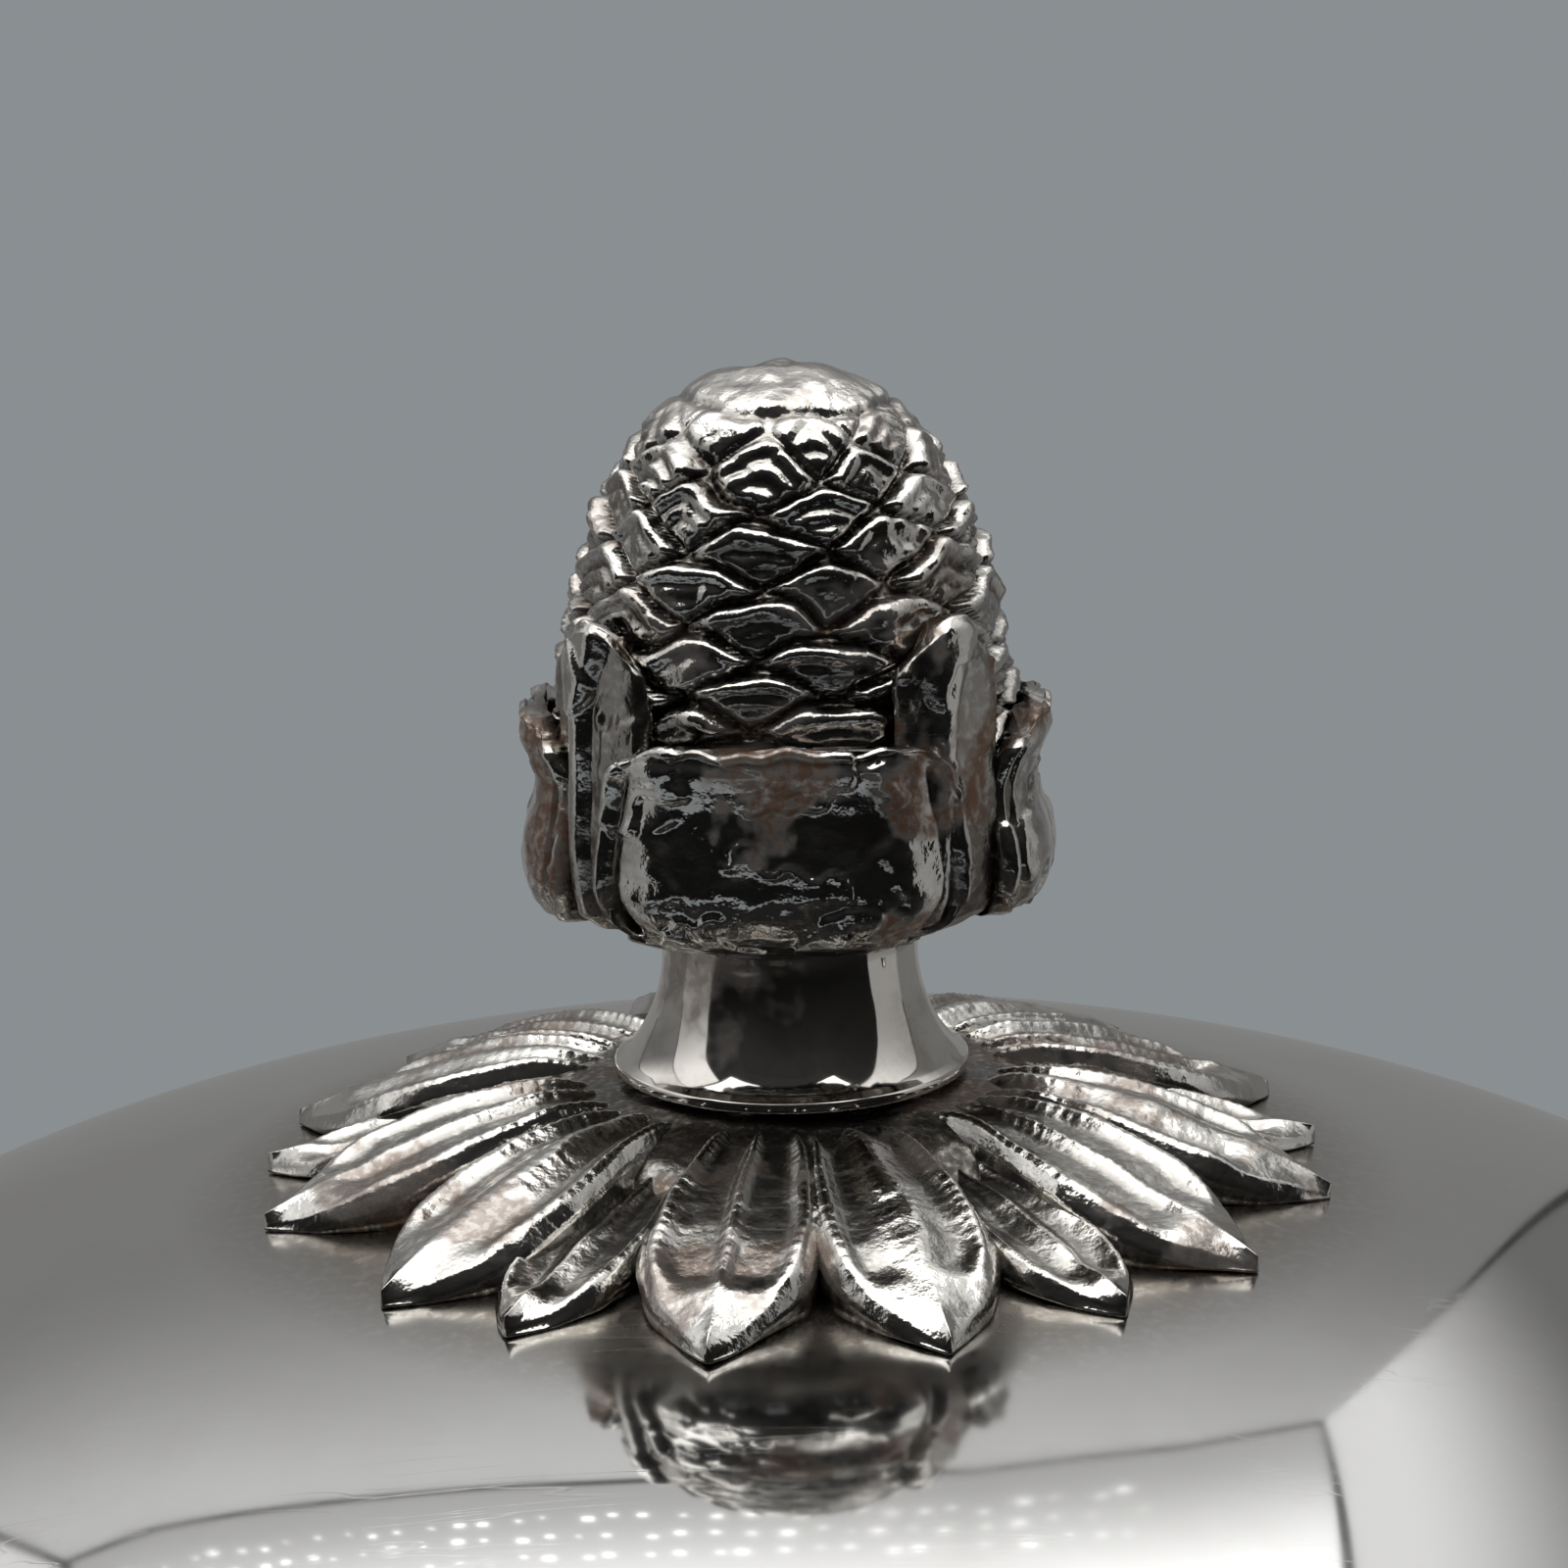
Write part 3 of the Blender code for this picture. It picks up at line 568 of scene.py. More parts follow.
MILLIMETRE = 0.001
LEAF_LENGTH = 0.0210
LEAF_WIDTH = 0.0160
LEAF_THICKNESS = 0.0016
LEAF_ROOT = 0.38
SOLDER = 0.0003
UPPER_DROP = 0.0190
LOWER_DROP = 0.0500


def soft(value, centre, width):
    """A soft bump from 0 to 1 where the value is near the centre."""
    return np.exp(-(((value - centre) / width) ** 2))


def wall_at(height):
    """(radius, outward direction as (radial, up)) of the bowl's side at a height."""
    side = np.array(bowl_side[::-1])
    place = float(np.interp(height, side[:, 1], side[:, 0]))
    above = float(np.interp(height + MILLIMETRE, side[:, 1], side[:, 0]))
    below = float(np.interp(height - MILLIMETRE, side[:, 1], side[:, 0]))
    lean = (above - below) / (2 * MILLIMETRE)
    length = sqrt(1 + lean**2)
    return place, (1 / length, -lean / length)


def handle_leaf(name, side, drop):
    """One cast leaf on the bowl's side, broad end up."""
    across = np.concatenate([np.linspace(-1, 1, 41), np.linspace(1, -1, 9)[1:-1]])
    raised = np.arange(len(across)) < 41
    rows, depth = [], []
    for share in np.linspace(0.02, 0.98, 66):
        height = rim_z - drop + (LEAF_ROOT - share) * LEAF_LENGTH
        radius, outward = wall_at(height)
        half = LEAF_WIDTH / 2 * sin(pi * share**0.75) ** 0.8
        half *= 1.0 - 0.13 * abs(sin(pi * 4.5 * share)) ** 1.5
        vein = soft(across, 0.0, 0.09)
        branch = np.sin(2 * pi * (share * 6.5 + 1.5 * np.abs(across)))
        groove = np.clip(0.5 - branch, 0, 1) * np.clip(np.abs(across) / 0.3, 0, 1)
        swell = (1.0 - 0.5 * across**2) * (0.5 + 0.4 * sin(pi * share))
        swell = swell + 0.16 * vein - 0.12 * groove
        out = SOLDER + LEAF_THICKNESS * np.clip(swell, 0.15, 1.0) * raised
        turn = pi / 2 * side + across * half / radius
        reach = radius + out * outward[0]
        lift = height + out * outward[1]
        rows.append(np.stack([reach * np.sin(turn), -reach * np.cos(turn), lift], axis=1))
        depth.append(np.clip(groove * 0.8, 0, 1) * raised + 0.9 * ~raised)
    return skinned(name, np.array(rows), close_columns=False, caps=True, hollow=np.array(depth))


cast_leaf_silver = silver(
    "cast leaf silver", (0.70, 0.69, 0.66), (0.085, 0.068, 0.05), 0.2, tarnish_cover=0.4,
    cloud_size=0.003, grain_depth=0.00002, dent_depth=0.00012, dent_size=0.002,
)
for label, side in (("left", -1), ("right", 1)):
    for level, leaf_drop in (("upper", UPPER_DROP), ("lower", LOWER_DROP)):
        name = "handle_" + level + "_leaf_" + label
        add_piece(
            "chased_" + name, handle_leaf("chased_" + name, side, leaf_drop), cast_leaf_silver, "bowl",
            "cast_leaf_silver", name,
        )


# Handles --------------------------------------------------------------------------------------
# Two cast loops of round section, slimmer at their ends, each with a small double collar by its
# leaves and a thumb leaf chased over its crest. They are soldered to the four leaves.

HANDLE_RADIUS = 0.0030
HANDLE_END_RADIUS = 0.0023
HANDLE_CREST_REACH = 0.0150
HANDLE_RUN = 0.0120
HANDLE_SWEEP = 0.0160
OUTER_DROP = 0.0120
THUMB_LEAF_HALF_LENGTH = 0.0105
THUMB_LEAF_RISE = 0.00045


def handle_end(drop):
    """(place, direction) in the (radius, height) plane where a handle meets its leaf."""
    radius, outward = wall_at(rim_z - drop)
    out = SOLDER + LEAF_THICKNESS + SOLDER
    place = (radius + out * outward[0], rim_z - drop + out * outward[1])
    return np.array(place), np.array(outward)


def handle_loop(name, side):
    """A loop out of the upper leaf, over its crest, and in to the lower leaf."""
    low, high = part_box("handle_right")
    upper, upper_way = handle_end(UPPER_DROP)
    lower, lower_way = handle_end(LOWER_DROP)
    crest = np.array((belly_radius + HANDLE_CREST_REACH, high.z - HANDLE_RADIUS))
    outermost = np.array((high.x - HANDLE_RADIUS, rim_z - OUTER_DROP))
    turn = np.array((0.55 * (outermost[0] - crest[0]), 0.0))
    fall = np.array((0.0, -0.55 * (crest[1] - outermost[1])))
    sweep = np.array((0.0, -HANDLE_SWEEP))
    path = arc(upper, upper + HANDLE_RUN * upper_way, crest - turn, crest, 60)
    crest_index = len(path) - 1
    path += arc(crest, crest + turn, outermost - fall, outermost, 50, 1)
    path += arc(outermost, outermost + sweep, lower + HANDLE_RUN * lower_way, lower, 70, 1)
    path = np.array(path)
    along = np.gradient(path, axis=0)
    along /= np.linalg.norm(along, axis=1)[:, None]
    out = np.stack([-along[:, 1], along[:, 0]], axis=1)
    travel = np.concatenate([[0.0], np.cumsum(np.linalg.norm(np.diff(path, axis=0), axis=1))])
    from_end = np.minimum(travel, travel[-1] - travel)
    thick = HANDLE_END_RADIUS + (HANDLE_RADIUS - HANDLE_END_RADIUS) * np.clip(
        from_end / 0.020, 0, 1
    ) ** 1.2
    for collar in (0.0034, 0.0052):
        thick = thick + 0.00042 * soft(from_end, collar, 0.00055)
    turns = np.arange(48) * 2 * pi / 48
    toward = np.cos(turns)[None]
    place = (travel - travel[crest_index])[:, None] / THUMB_LEAF_HALF_LENGTH
    aside = turns[None] - 2 * pi * (turns[None] > pi)
    width = 1.25 * np.sqrt(np.clip(1 - place**2, 0, 1))
    inside = np.clip((width - np.abs(aside)) / 0.22, 0, 1)
    vein = soft(aside, 0.0, 0.14)
    ribs = 0.5 + 0.5 * np.sin(place * 15 - np.abs(aside) * 5 * np.sign(place))
    leaf = inside * (0.62 + 0.38 * vein - 0.3 * ribs * np.clip(np.abs(aside) / 0.3, 0, 1))
    reach = thick[:, None] + THUMB_LEAF_RISE * leaf
    grid = np.stack(
        [
            side * (path[:, 0, None] + out[:, 0, None] * toward * reach), np.sin(turns)[None] * reach,
            path[:, 1, None] + out[:, 1, None] * toward * reach,
        ],
        axis=2,
    )
    recess = soft(from_end, 0.0043, 0.0005)[:, None] + inside * ribs * 0.45
    recess = recess + np.clip(1 - from_end / 0.0016, 0, 1)[:, None]
    return skinned(name, grid, close_columns=False, caps=True, hollow=np.clip(recess + 0 * aside, 0, 1))


handle_silver = silver(
    "handle silver", (0.72, 0.71, 0.69), (0.12, 0.10, 0.075), 0.13, tarnish_cover=0.3, cloud_size=0.007,
    dent_depth=0.00012, dent_size=0.006, scratches=0.6,
)
for label, side in (("left", -1), ("right", 1)):
    add_piece(
        "handle_loop_" + label, handle_loop("handle_loop_" + label, side), handle_silver, "bowl",
        "handle_silver", "handle_" + label,
    )


# Lid ------------------------------------------------------------------------------------------
# A dome raised from sheet silver and polished to a mirror, a moulded ring soldered under its
# edge that rests on the bowl, and a plain flange that drops into the neck. It lifts straight off.

LID_SHEET = 0.0009
CROWN_BOW = 2.01
STUD_BORE = 0.0022
BEZEL_SHEET = 0.0008
dome_low, dome_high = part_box("lid_dome")
lid_radius = dome_high.x
lid_edge = dome_low.z
crown = dome_high.z + CROWN_BOW * STUD_BORE**2
crown_turn = (crown - lid_edge - CROWN_BOW * lid_radius**2) / lid_radius**4


def dome_at(radius):
    """Height of the lid's outer face at a radius."""
    return crown - CROWN_BOW * radius**2 - crown_turn * radius**4


radii = STUD_BORE + (lid_radius - STUD_BORE) * np.linspace(0.0, 1.0, 72)
outer = np.stack([radii, dome_at(radii)], axis=1).tolist()
inner = inset(outer, -LID_SHEET)
inner[0] = (STUD_BORE, outer[0][1] - LID_SHEET)
inner[-1] = (lid_radius - LID_SHEET, lid_edge)
lid_silver = silver(
    "lid silver", (0.72, 0.72, 0.715), (0.26, 0.225, 0.18), 0.05, tarnish_cover=0.10, cloud_size=0.014,
    dent_depth=0.00003, dent_size=0.016, dulling=0.26, scratches=0.45,
)
outline = eased(outer + inner[::-1], 0.0003)
polished = np.clip((outline[:, 0] - 0.0205) / 0.0055, 0.0, 1.0)
add_piece(
    "lid_raised", turned("lid_raised", outline, 256, 0.85 * (1.0 - polished) ** 1.5), lid_silver, "lid",
    "lid_silver", "lid_dome",
)

ring_low, ring_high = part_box("lid_rim_ring")
bezel_low, bezel_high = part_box("lid_bezel")
bore = bezel_high.x + SOLDER
reach = ring_high.x
low, high = ring_low.z, ring_high.z
bead = [(reach - 0.0010 + 0.0010 * cos(t), low + 0.0012 + 0.0010 * sin(t))
        for t in np.linspace(1.3, -1.2, 13)]
outline = [(bore, high), (lid_radius + 0.0009, high), (lid_radius + 0.0012, high - 0.0005),
           (reach - 0.0012, high - 0.0008)]
outline += bead
outline += [(reach - 0.0012, low), (bore, low)]
add_turned("lid_moulding", outline, 0.0002, border_silver, "lid", "wire_silver", "lid_rim_ring")

bezel_silver = silver(
    "bezel silver", (0.70, 0.69, 0.655), (0.20, 0.16, 0.11), 0.24, tarnish_cover=0.5, cloud_size=0.008,
    grain_depth=0.000006, scratches=0.8,
)
reach = bezel_high.x
outline = [
    (reach, bezel_high.z), (reach, bezel_low.z), (reach - BEZEL_SHEET, bezel_low.z),
    (reach - BEZEL_SHEET, bezel_high.z),
]
add_turned("lid_flange", outline, 0.0002, bezel_silver, "lid", "bezel_silver", "lid_bezel")


# Leaf rosette ---------------------------------------------------------------------------------
# A cast ring of leaves soldered to the crown of the lid: six groups of two long leaves and a small
# rough one between them. Rims and ribs are rubbed bright, and their tooled grooves have gone dark.

LEAF_GROUPS = 6
FIRST_GROUP = radians(3.0)
PAIR_TURN = radians(12.0)
SMALL_TURN = radians(30.0)


def smooth_step(value, low, high):
    share = np.clip((value - low) / (high - low), 0.0, 1.0)
    return share * share * (3 - 2 * share)


def rosette_leaf(name, spine, half_widths, rib, rib_width, groove_end, veins=0.0):
    """One cast leaf that points to the front, from its spine and half widths, in millimetres.

    The spine is (distance from the middle, height above the lid).
    """
    across = np.linspace(-1.0, 1.0, 37)
    spine, half_widths = np.array(spine), np.array(half_widths)
    aside = np.abs(across)
    rim = 0.46 * soft(aside, 0.78, 0.15)
    middle = rib * soft(across, 0.0, rib_width)
    chased = -0.46 + rim + middle + veins * np.cos(across * 11)
    plain = 0.24 - 0.56 * aside
    edge = -0.5 * smooth_step(aside, 0.86, 1.0)
    rows, depth = [], []
    for radius, lift in spine:
        half = np.interp(radius, half_widths[:, 0], half_widths[:, 1])
        tooled = 1 - smooth_step(radius, groove_end - 1.2, groove_end + 0.5)
        beads = 0.07 * np.sin(radius * 2 * pi / 0.5 + 1.3 * np.sign(across))
        ribs = (0.6 * rim + middle * min(1.0, 0.12 / rib_width)) * beads * (aside < 0.86)
        section = tooled * (chased + ribs) + (1 - tooled) * plain + edge
        base = np.hypot(across * half, radius) * MILLIMETRE
        top = (dome_at(base) - crown) / MILLIMETRE + lift + section
        low = (dome_at(radius * MILLIMETRE) - crown) / MILLIMETRE + 0.04
        top = np.maximum(top, low + 0.1)
        under = [(0.995, top[-1] - 0.03), (0.99, (top[-1] + low) / 2), (0.97, low)]
        under += [(0.0, low)] + [(-place, level) for place, level in under[::-1]]
        places = np.concatenate([across, [place for place, level in under]])
        levels = np.concatenate([top, [level for place, level in under]])
        row = np.stack([places * half, np.full(len(places), -radius), levels], axis=1)
        rows.append(row * MILLIMETRE + (0, 0, crown))
        recess = 0.62 * np.clip(-section / 0.42, 0, 1) ** 1.3 * tooled * (aside < 0.8)
        depth.append(np.concatenate([recess, [0.55, 0.9, 1.0, 1.0, 1.0, 0.9, 0.55]]))
    return skinned(name, np.array(rows), close_columns=False, caps=True, hollow=np.array(depth))


long_spine = arc((8.1, 2.75), (10.3, 4.15), (16.6, 2.5), (22.15, 0.45), 112)
long_widths = arc((8.1, 1.75), (10.8, 2.1), (13.4, 3.35), (16.6, 3.35), 20)
long_widths += arc((16.6, 3.35), (18.3, 3.35), (19.6, 2.75), (22.15, 0.06), 20, 1)
small_spine = arc((9.4, 1.9), (12.0, 2.3), (16.0, 1.5), (21.8, 0.6), 64)
small_widths = arc((9.4, 1.1), (13.0, 1.5), (15.0, 2.5), (17.2, 2.5), 20)
small_widths += arc((17.2, 2.5), (18.8, 2.5), (20.0, 1.9), (21.8, 0.08), 20, 1)

leaf_ring, given, results = new_group(
    "leaves_in_a_ring",
    "GeometryNodeTree",
    {
        "Leaf": ("object",), "Leaves": ("count", 6), "First Turn": ("number", 0.0),
        "Stray": ("number", 0.0), "Seed": ("count", 1),
    },
    {"Ring": "shape"},
)
places = add_node(leaf_ring, "GeometryNodePoints", {"Count": given["Leaves"]}).outputs[0]
index = Sum(leaf_ring, add_node(leaf_ring, "GeometryNodeInputIndex").outputs[0])
turn = index * (2 * pi / given["Leaves"]) + given["First Turn"]
turn = drawn_lots(leaf_ring, -1.0, 1.0, given["Seed"]) * given["Stray"] + turn
turn = add_node(leaf_ring, "ShaderNodeCombineXYZ", {"Z": turn}).outputs[0]
facing = add_node(leaf_ring, "FunctionNodeEulerToRotation", {0: turn}).outputs[0]
pattern = add_node(leaf_ring, "GeometryNodeObjectInfo", {"Object": given["Leaf"]})
ring = laid_out(leaf_ring, places, pattern.outputs["Geometry"], Rotation=facing)
fed(leaf_ring, results[0], ring)


def cast_noise(tree, size, seed, detail=1.0):
    """Seeded noise in space, whose lumps are about this size."""
    place = add_node(tree, "GeometryNodeInputPosition").outputs[0]
    inputs = {"Vector": place, "W": seed, "Scale": 1.0 / size, "Detail": detail}
    return add_node(tree, "ShaderNodeTexNoise", inputs, noise_dimensions="4D").outputs


def scaled_by(tree, way, length):
    """A direction made this long."""
    inputs = {0: way, "Scale": length}
    return add_node(tree, "ShaderNodeVectorMath", inputs, operation="SCALE").outputs[0]


def knocked(tree, shape, size, depth, seed):
    """The shape pushed about by up to this depth, as an old casting is uneven."""
    inputs = {0: cast_noise(tree, size, seed)["Color"], 1: (0.5, 0.5, 0.5)}
    centred = add_node(tree, "ShaderNodeVectorMath", inputs, operation="SUBTRACT").outputs[0]
    return pushed(tree, shape, scaled_by(tree, centred, depth))


LUMP_SIZE = 0.0034
PIT_SIZE = 0.0008
TORN_SIZE = 0.0042
cluster, given, results = new_group(
    "leaf_cluster",
    "GeometryNodeTree",
    {
        "Middle": ("shape",), "Leaf A": ("object",), "Leaf B": ("object",), "Leaf C": ("object",),
        "Leaves A": ("count", 0), "Leaves B": ("count", 0), "Leaves C": ("count", 0),
        "Turn A": ("number", 0.0), "Turn B": ("number", 0.0), "Turn C": ("number", 0.0),
        "Stray": ("number", 0.0), "Lump Depth": ("number", 0.0002), "Pit Depth": ("number", 0.00005),
        "Torn Depth": ("number", 0.0), "Seed": ("count", 1), "Finish": ("finish",),
    },
    {"Cluster": "shape"},
)
rings = []
for order, letter in enumerate("ABC"):
    ring = add_node(cluster, "GeometryNodeGroup", node_tree=leaf_ring)
    fed(cluster, ring.inputs["Leaf"], given["Leaf " + letter])
    fed(cluster, ring.inputs["Leaves"], given["Leaves " + letter])
    fed(cluster, ring.inputs["First Turn"], given["Turn " + letter])
    fed(cluster, ring.inputs["Stray"], given["Stray"])
    fed(cluster, ring.inputs["Seed"], given["Seed"] + order)
    rings.append(ring.outputs[0])
solid = joined(cluster, given["Middle"], *rings)
lumpy = knocked(cluster, solid, LUMP_SIZE, given["Lump Depth"], given["Seed"])
pitted = knocked(cluster, lumpy, PIT_SIZE, given["Pit Depth"], given["Seed"])
skin = cast_noise(cluster, TORN_SIZE, given["Seed"] + 20.0, 2.0)["Fac"]
flaps = between(cluster, skin, 0.5, 0.515) * given["Torn Depth"]
outward = add_node(cluster, "GeometryNodeInputNormal").outputs[0]
torn = pushed(cluster, pitted, scaled_by(cluster, outward, flaps))
fed(cluster, results[0], coated(cluster, torn, given["Finish"]))


def clustered(name, middle, leaves, values):
    """The middle with its rings of leaves, given as (mesh, how many, first turn)."""
    patterns = []
    for letter, (leaf, count, turn) in zip("ABC", leaves):
        pattern = bpy.data.objects.new(leaf.name, leaf)
        patterns.append(pattern)
        values.update({"Leaf " + letter: pattern, "Leaves " + letter: count, "Turn " + letter: turn})
    made = carried_out(name, middle, cluster, values)
    for pattern in patterns:
        bpy.data.objects.remove(pattern)
    return made


rosette_silver = silver(
    "rosette silver", (0.72, 0.705, 0.67), (0.045, 0.037, 0.028), 0.13, tarnish_cover=0.34,
    cloud_size=0.0022, grain_size=0.00035, grain_depth=0.000035, dent_size=0.0017, dent_depth=0.00017,
    scratches=0.5, dulling=0.2, stain_cover=0.5,
)
dish = eased(
    [
        (STUD_BORE, crown + 0.0028), (0.0080, crown + 0.0028), (0.0092, crown + 0.0026),
        (0.0112, crown + 0.0019), (0.0128, crown + 0.0004), (0.0128, dome_at(0.0128) + SOLDER),
        (0.0075, dome_at(0.0075) + SOLDER), (STUD_BORE, dome_at(STUD_BORE) + SOLDER),
    ],
    0.0006,
)
ribbed_leaf = rosette_leaf("ribbed_leaf", long_spine, long_widths, 0.44, 0.10, 19.2)
bellied_leaf = rosette_leaf("bellied_leaf", long_spine, long_widths, 0.56, 0.34, 19.0)
rough_leaf = rosette_leaf("rough_leaf", small_spine, small_widths, 0.28, 0.2, 20.0, 0.06)
rosette = clustered(
    "lid_rosette",
    turned("rosette_dish", dish, 120, 0.9),
    (
        (ribbed_leaf, LEAF_GROUPS, FIRST_GROUP - PAIR_TURN),
        (bellied_leaf, LEAF_GROUPS, FIRST_GROUP + PAIR_TURN),
        (rough_leaf, LEAF_GROUPS, FIRST_GROUP + SMALL_TURN),
    ),
    {"Stray": radians(1.6), "Lump Depth": 0.00045, "Pit Depth": 0.00007, "Seed": 7,
     "Finish": rosette_silver},
)
add_piece("lid_rosette", rosette, rosette_silver, "lid", "rosette_silver", "leaf_rosette")


# Fastening ------------------------------------------------------------------------------------
# A plain stud runs from the pine cone down through the lid, where a washer and a hexagon nut
# pull the whole finial tight. They are turned and filed, and left dull because nobody sees them.

fastening_silver = silver(
    "fastening silver", (0.62, 0.60, 0.56), (0.12, 0.09, 0.06), 0.3, tarnish_cover=0.6,
    cloud_size=0.002, grain_size=0.0003, grain_depth=0.00001, scratches=0.8,
)
for name in ("finial_stud", "finial_washer", "finial_nut"):
    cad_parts[name].material_slots[0].material = fastening_silver


# Spool ----------------------------------------------------------------------------------------
# A waisted spool between the rosette and the pine cone, turned and polished bright. It has a thin
# lip at its foot, and a warm film of tarnish that polishing never quite reaches.

stem_low, stem_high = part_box("finial_stem")
SPOOL_OVERLAP = 0.0011  # how far the spool runs up into the calyx
low = stem_low.z
top = stem_high.z + SPOOL_OVERLAP
base = stem_high.x
outline = [(STUD_BORE, top), (0.0051, top), (0.00535, top - 0.0002)]
outline += arc(
    (0.0053, top - 0.0005), (0.0050, top - 0.0026), (0.0060, low + 0.0014), (0.00695, low + 0.0006), 36
)
outline += [(base, low + 0.0004), (base, low), (STUD_BORE, low)]
spool_silver = silver(
    "spool silver", (0.78, 0.755, 0.71), (0.16, 0.105, 0.065), 0.06, tarnish_cover=0.35,
    cloud_size=0.0030, dent_size=0.0032, dent_depth=0.00011, scratches=0.8, dulling=0.12,
    stain_cover=0.5,
)
add_turned("finial_spool", outline, 0.00012, spool_silver, "lid", "spool_silver", "finial_stem")


# Calyx ----------------------------------------------------------------------------------------
# The cast cup that holds the pine cone: four broad leaves with curled edges over four tall ones
# with hooded tops. The broad ones are rubbed flat and torn along their tops.

calyx_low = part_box("finial_calyx")[0]
CALYX_START = 0.0084  # how far under the calyx the leaves' own heights start
calyx_z = calyx_low.z - CALYX_START
CUP = [
    (2.2, 9.5), (5.5, 9.5), (7.6, 9.9), (8.8, 10.4), (9.5, 11.1), (9.85, 12.2), (9.9, 13.5),
    (9.9, 16.6), (9.6, 16.6), (9.55, 13.0), (9.1, 11.7), (8.4, 10.9), (7.2, 10.4), (2.2, 10.2),
]
cup = eased(np.array(CUP) * MILLIMETRE + (0, calyx_z), 0.0006)


def calyx_leaf(name, levels, section, depth_of, thickness=0.9, columns=97):
    """A leaf wrapped round the cup, facing the front.

    levels is (height, radius, half angle in degrees) up the leaf, and section gives the relief,
    all in millimetres; depth_of gives how much of a recess each place is.
    """
    across = np.linspace(-1.0, 1.0, columns)[None]
    levels = np.array(levels, float)
    share = np.linspace(0.0, 1.0, 96)
    height = np.interp(share, np.linspace(0, 1, len(levels)), levels[:, 0])
    radius = np.interp(height, levels[:, 0], levels[:, 1])
    half = np.interp(height, levels[:, 0], levels[:, 2])
    blur = np.array([1, 4, 8, 10, 8, 4, 1]) / 36
    radius[3:-3] = np.convolve(radius, blur, "valid")
    half[3:-3] = np.convolve(half, blur, "valid")
    share, height, radius, half = (value[:, None] for value in (share, height, radius, half))
    relief, tip = section(across, share)
    out = radius + relief
    turn = np.radians(half) * across
    rise = height + tip
    face = np.stack([out * np.sin(turn), -out * np.cos(turn), rise + 0 * turn], axis=2)
    inner = radius - thickness
    inner_turn = turn[:, ::-4] * 0.98
    back = np.stack(
        [inner * np.sin(inner_turn), -inner * np.cos(inner_turn), (rise + 0 * turn)[:, ::-4] - 0.1],
        axis=2,
    )
    grid = np.concatenate([face, back], axis=1) * MILLIMETRE + (0, 0, calyx_z)
    depth = np.concatenate([depth_of(across, share), np.ones(back.shape[:2])], axis=1)
    return skinned(name, grid, close_columns=False, caps=True, hollow=np.clip(depth, 0, 1))


def eyelet(across, share):
    """How much of the dark slit, which ends below in a drop, lies at a place on a broad leaf."""
    aside = np.abs(across)
    slit_width = 0.022 + 0.042 * soft(share, 0.30, 0.08)
    slit = soft(aside, 0.87 - 0.07 * (share - 0.3), slit_width)
    return slit * smooth_step(share, 0.18, 0.24) * (1 - smooth_step(share, 0.72, 0.86))


def broad_section(across, share):
    """Relief of a broad leaf, and how its torn top rises and falls."""
    aside = np.abs(across)
    rim = 0.16 * soft(aside, 0.95, 0.035) * (share < 0.97)
    edge = -0.45 * smooth_step(aside, 0.97, 1.0)
    top_edge = 0.13 * soft(share, 0.965, 0.02)
    under_top = -0.10 * soft(share, 0.90, 0.04)
    ragged = aside + 0.05 * np.sin(share * 23 + 4 * across) + 0.02 * np.sin(share * 61)
    panel = 0.13 * smooth_step(ragged, 0.50, 0.56) - 0.22 * smooth_step(ragged, 0.60, 0.84)
    relief = rim + edge + top_edge + under_top + panel - 1.0 * eyelet(across, share)
    torn = 0.12 * np.sin(across * 9.0 + 1.0) + 0.07 * np.sin(across * 23.0) - 0.55 * aside**5
    return relief, torn * smooth_step(share, 0.75, 1.0)


def front_section(across, share):
    """The same relief with the lip of a torn flap, which stands up across the panel."""
    relief, top = broad_section(across, share)
    wander = 0.03 * np.sin(across * 31) + 0.02 * np.sin(share * 57)
    below = (0.56 - 0.2 * (across + 0.2) + wander - share) * 7.5
    beside = (0.36 + wander - across) * 7.5
    inward = np.minimum(below, beside)
    lip = 0.28 * np.exp(-np.clip(inward, 0, 9) / 0.4) * (inward > 0)
    kept = smooth_step(across, -0.4, -0.15) * smooth_step(share, 0.12, 0.2)
    return relief + lip * kept, top


def broad_depth(across, share):
    aside = np.abs(across)
    corner = soft(share, 0.91, 0.03) * 0.6
    edge = smooth_step(aside, 0.97, 1.0) * 0.9
    return np.clip(eyelet(across, share) * 1.4 + corner + edge, 0, 1)


def tall_ridge(across, share):
    """How much of a tall leaf's ridge, which lies to one side, is at a place."""
    width = 0.20 + 0.42 * smooth_step(share, 0.66, 0.95)
    return np.exp(-(((across + 0.42 * (1 - share) ** 0.5) / width) ** 4))


def tall_section(across, share):
    """Relief of a tall leaf: a smooth ridge to one side that widens into its hooded top."""
    ridge = 0.46 * tall_ridge(across, share)
    hood = 0.16 * soft(share, 0.93, 0.06)
    edge = -0.4 * smooth_step(np.abs(across), 0.9, 1.0)
    rounding = -1.5 * np.abs(across) ** 2.4 * smooth_step(share, 0.72, 1.0)
    return ridge + hood + edge - 0.3, rounding


def tall_depth(across, share):
    return (1 - tall_ridge(across, share)) * 0.62 + 0.3 * (1 - smooth_step(share, 0.3, 0.6))


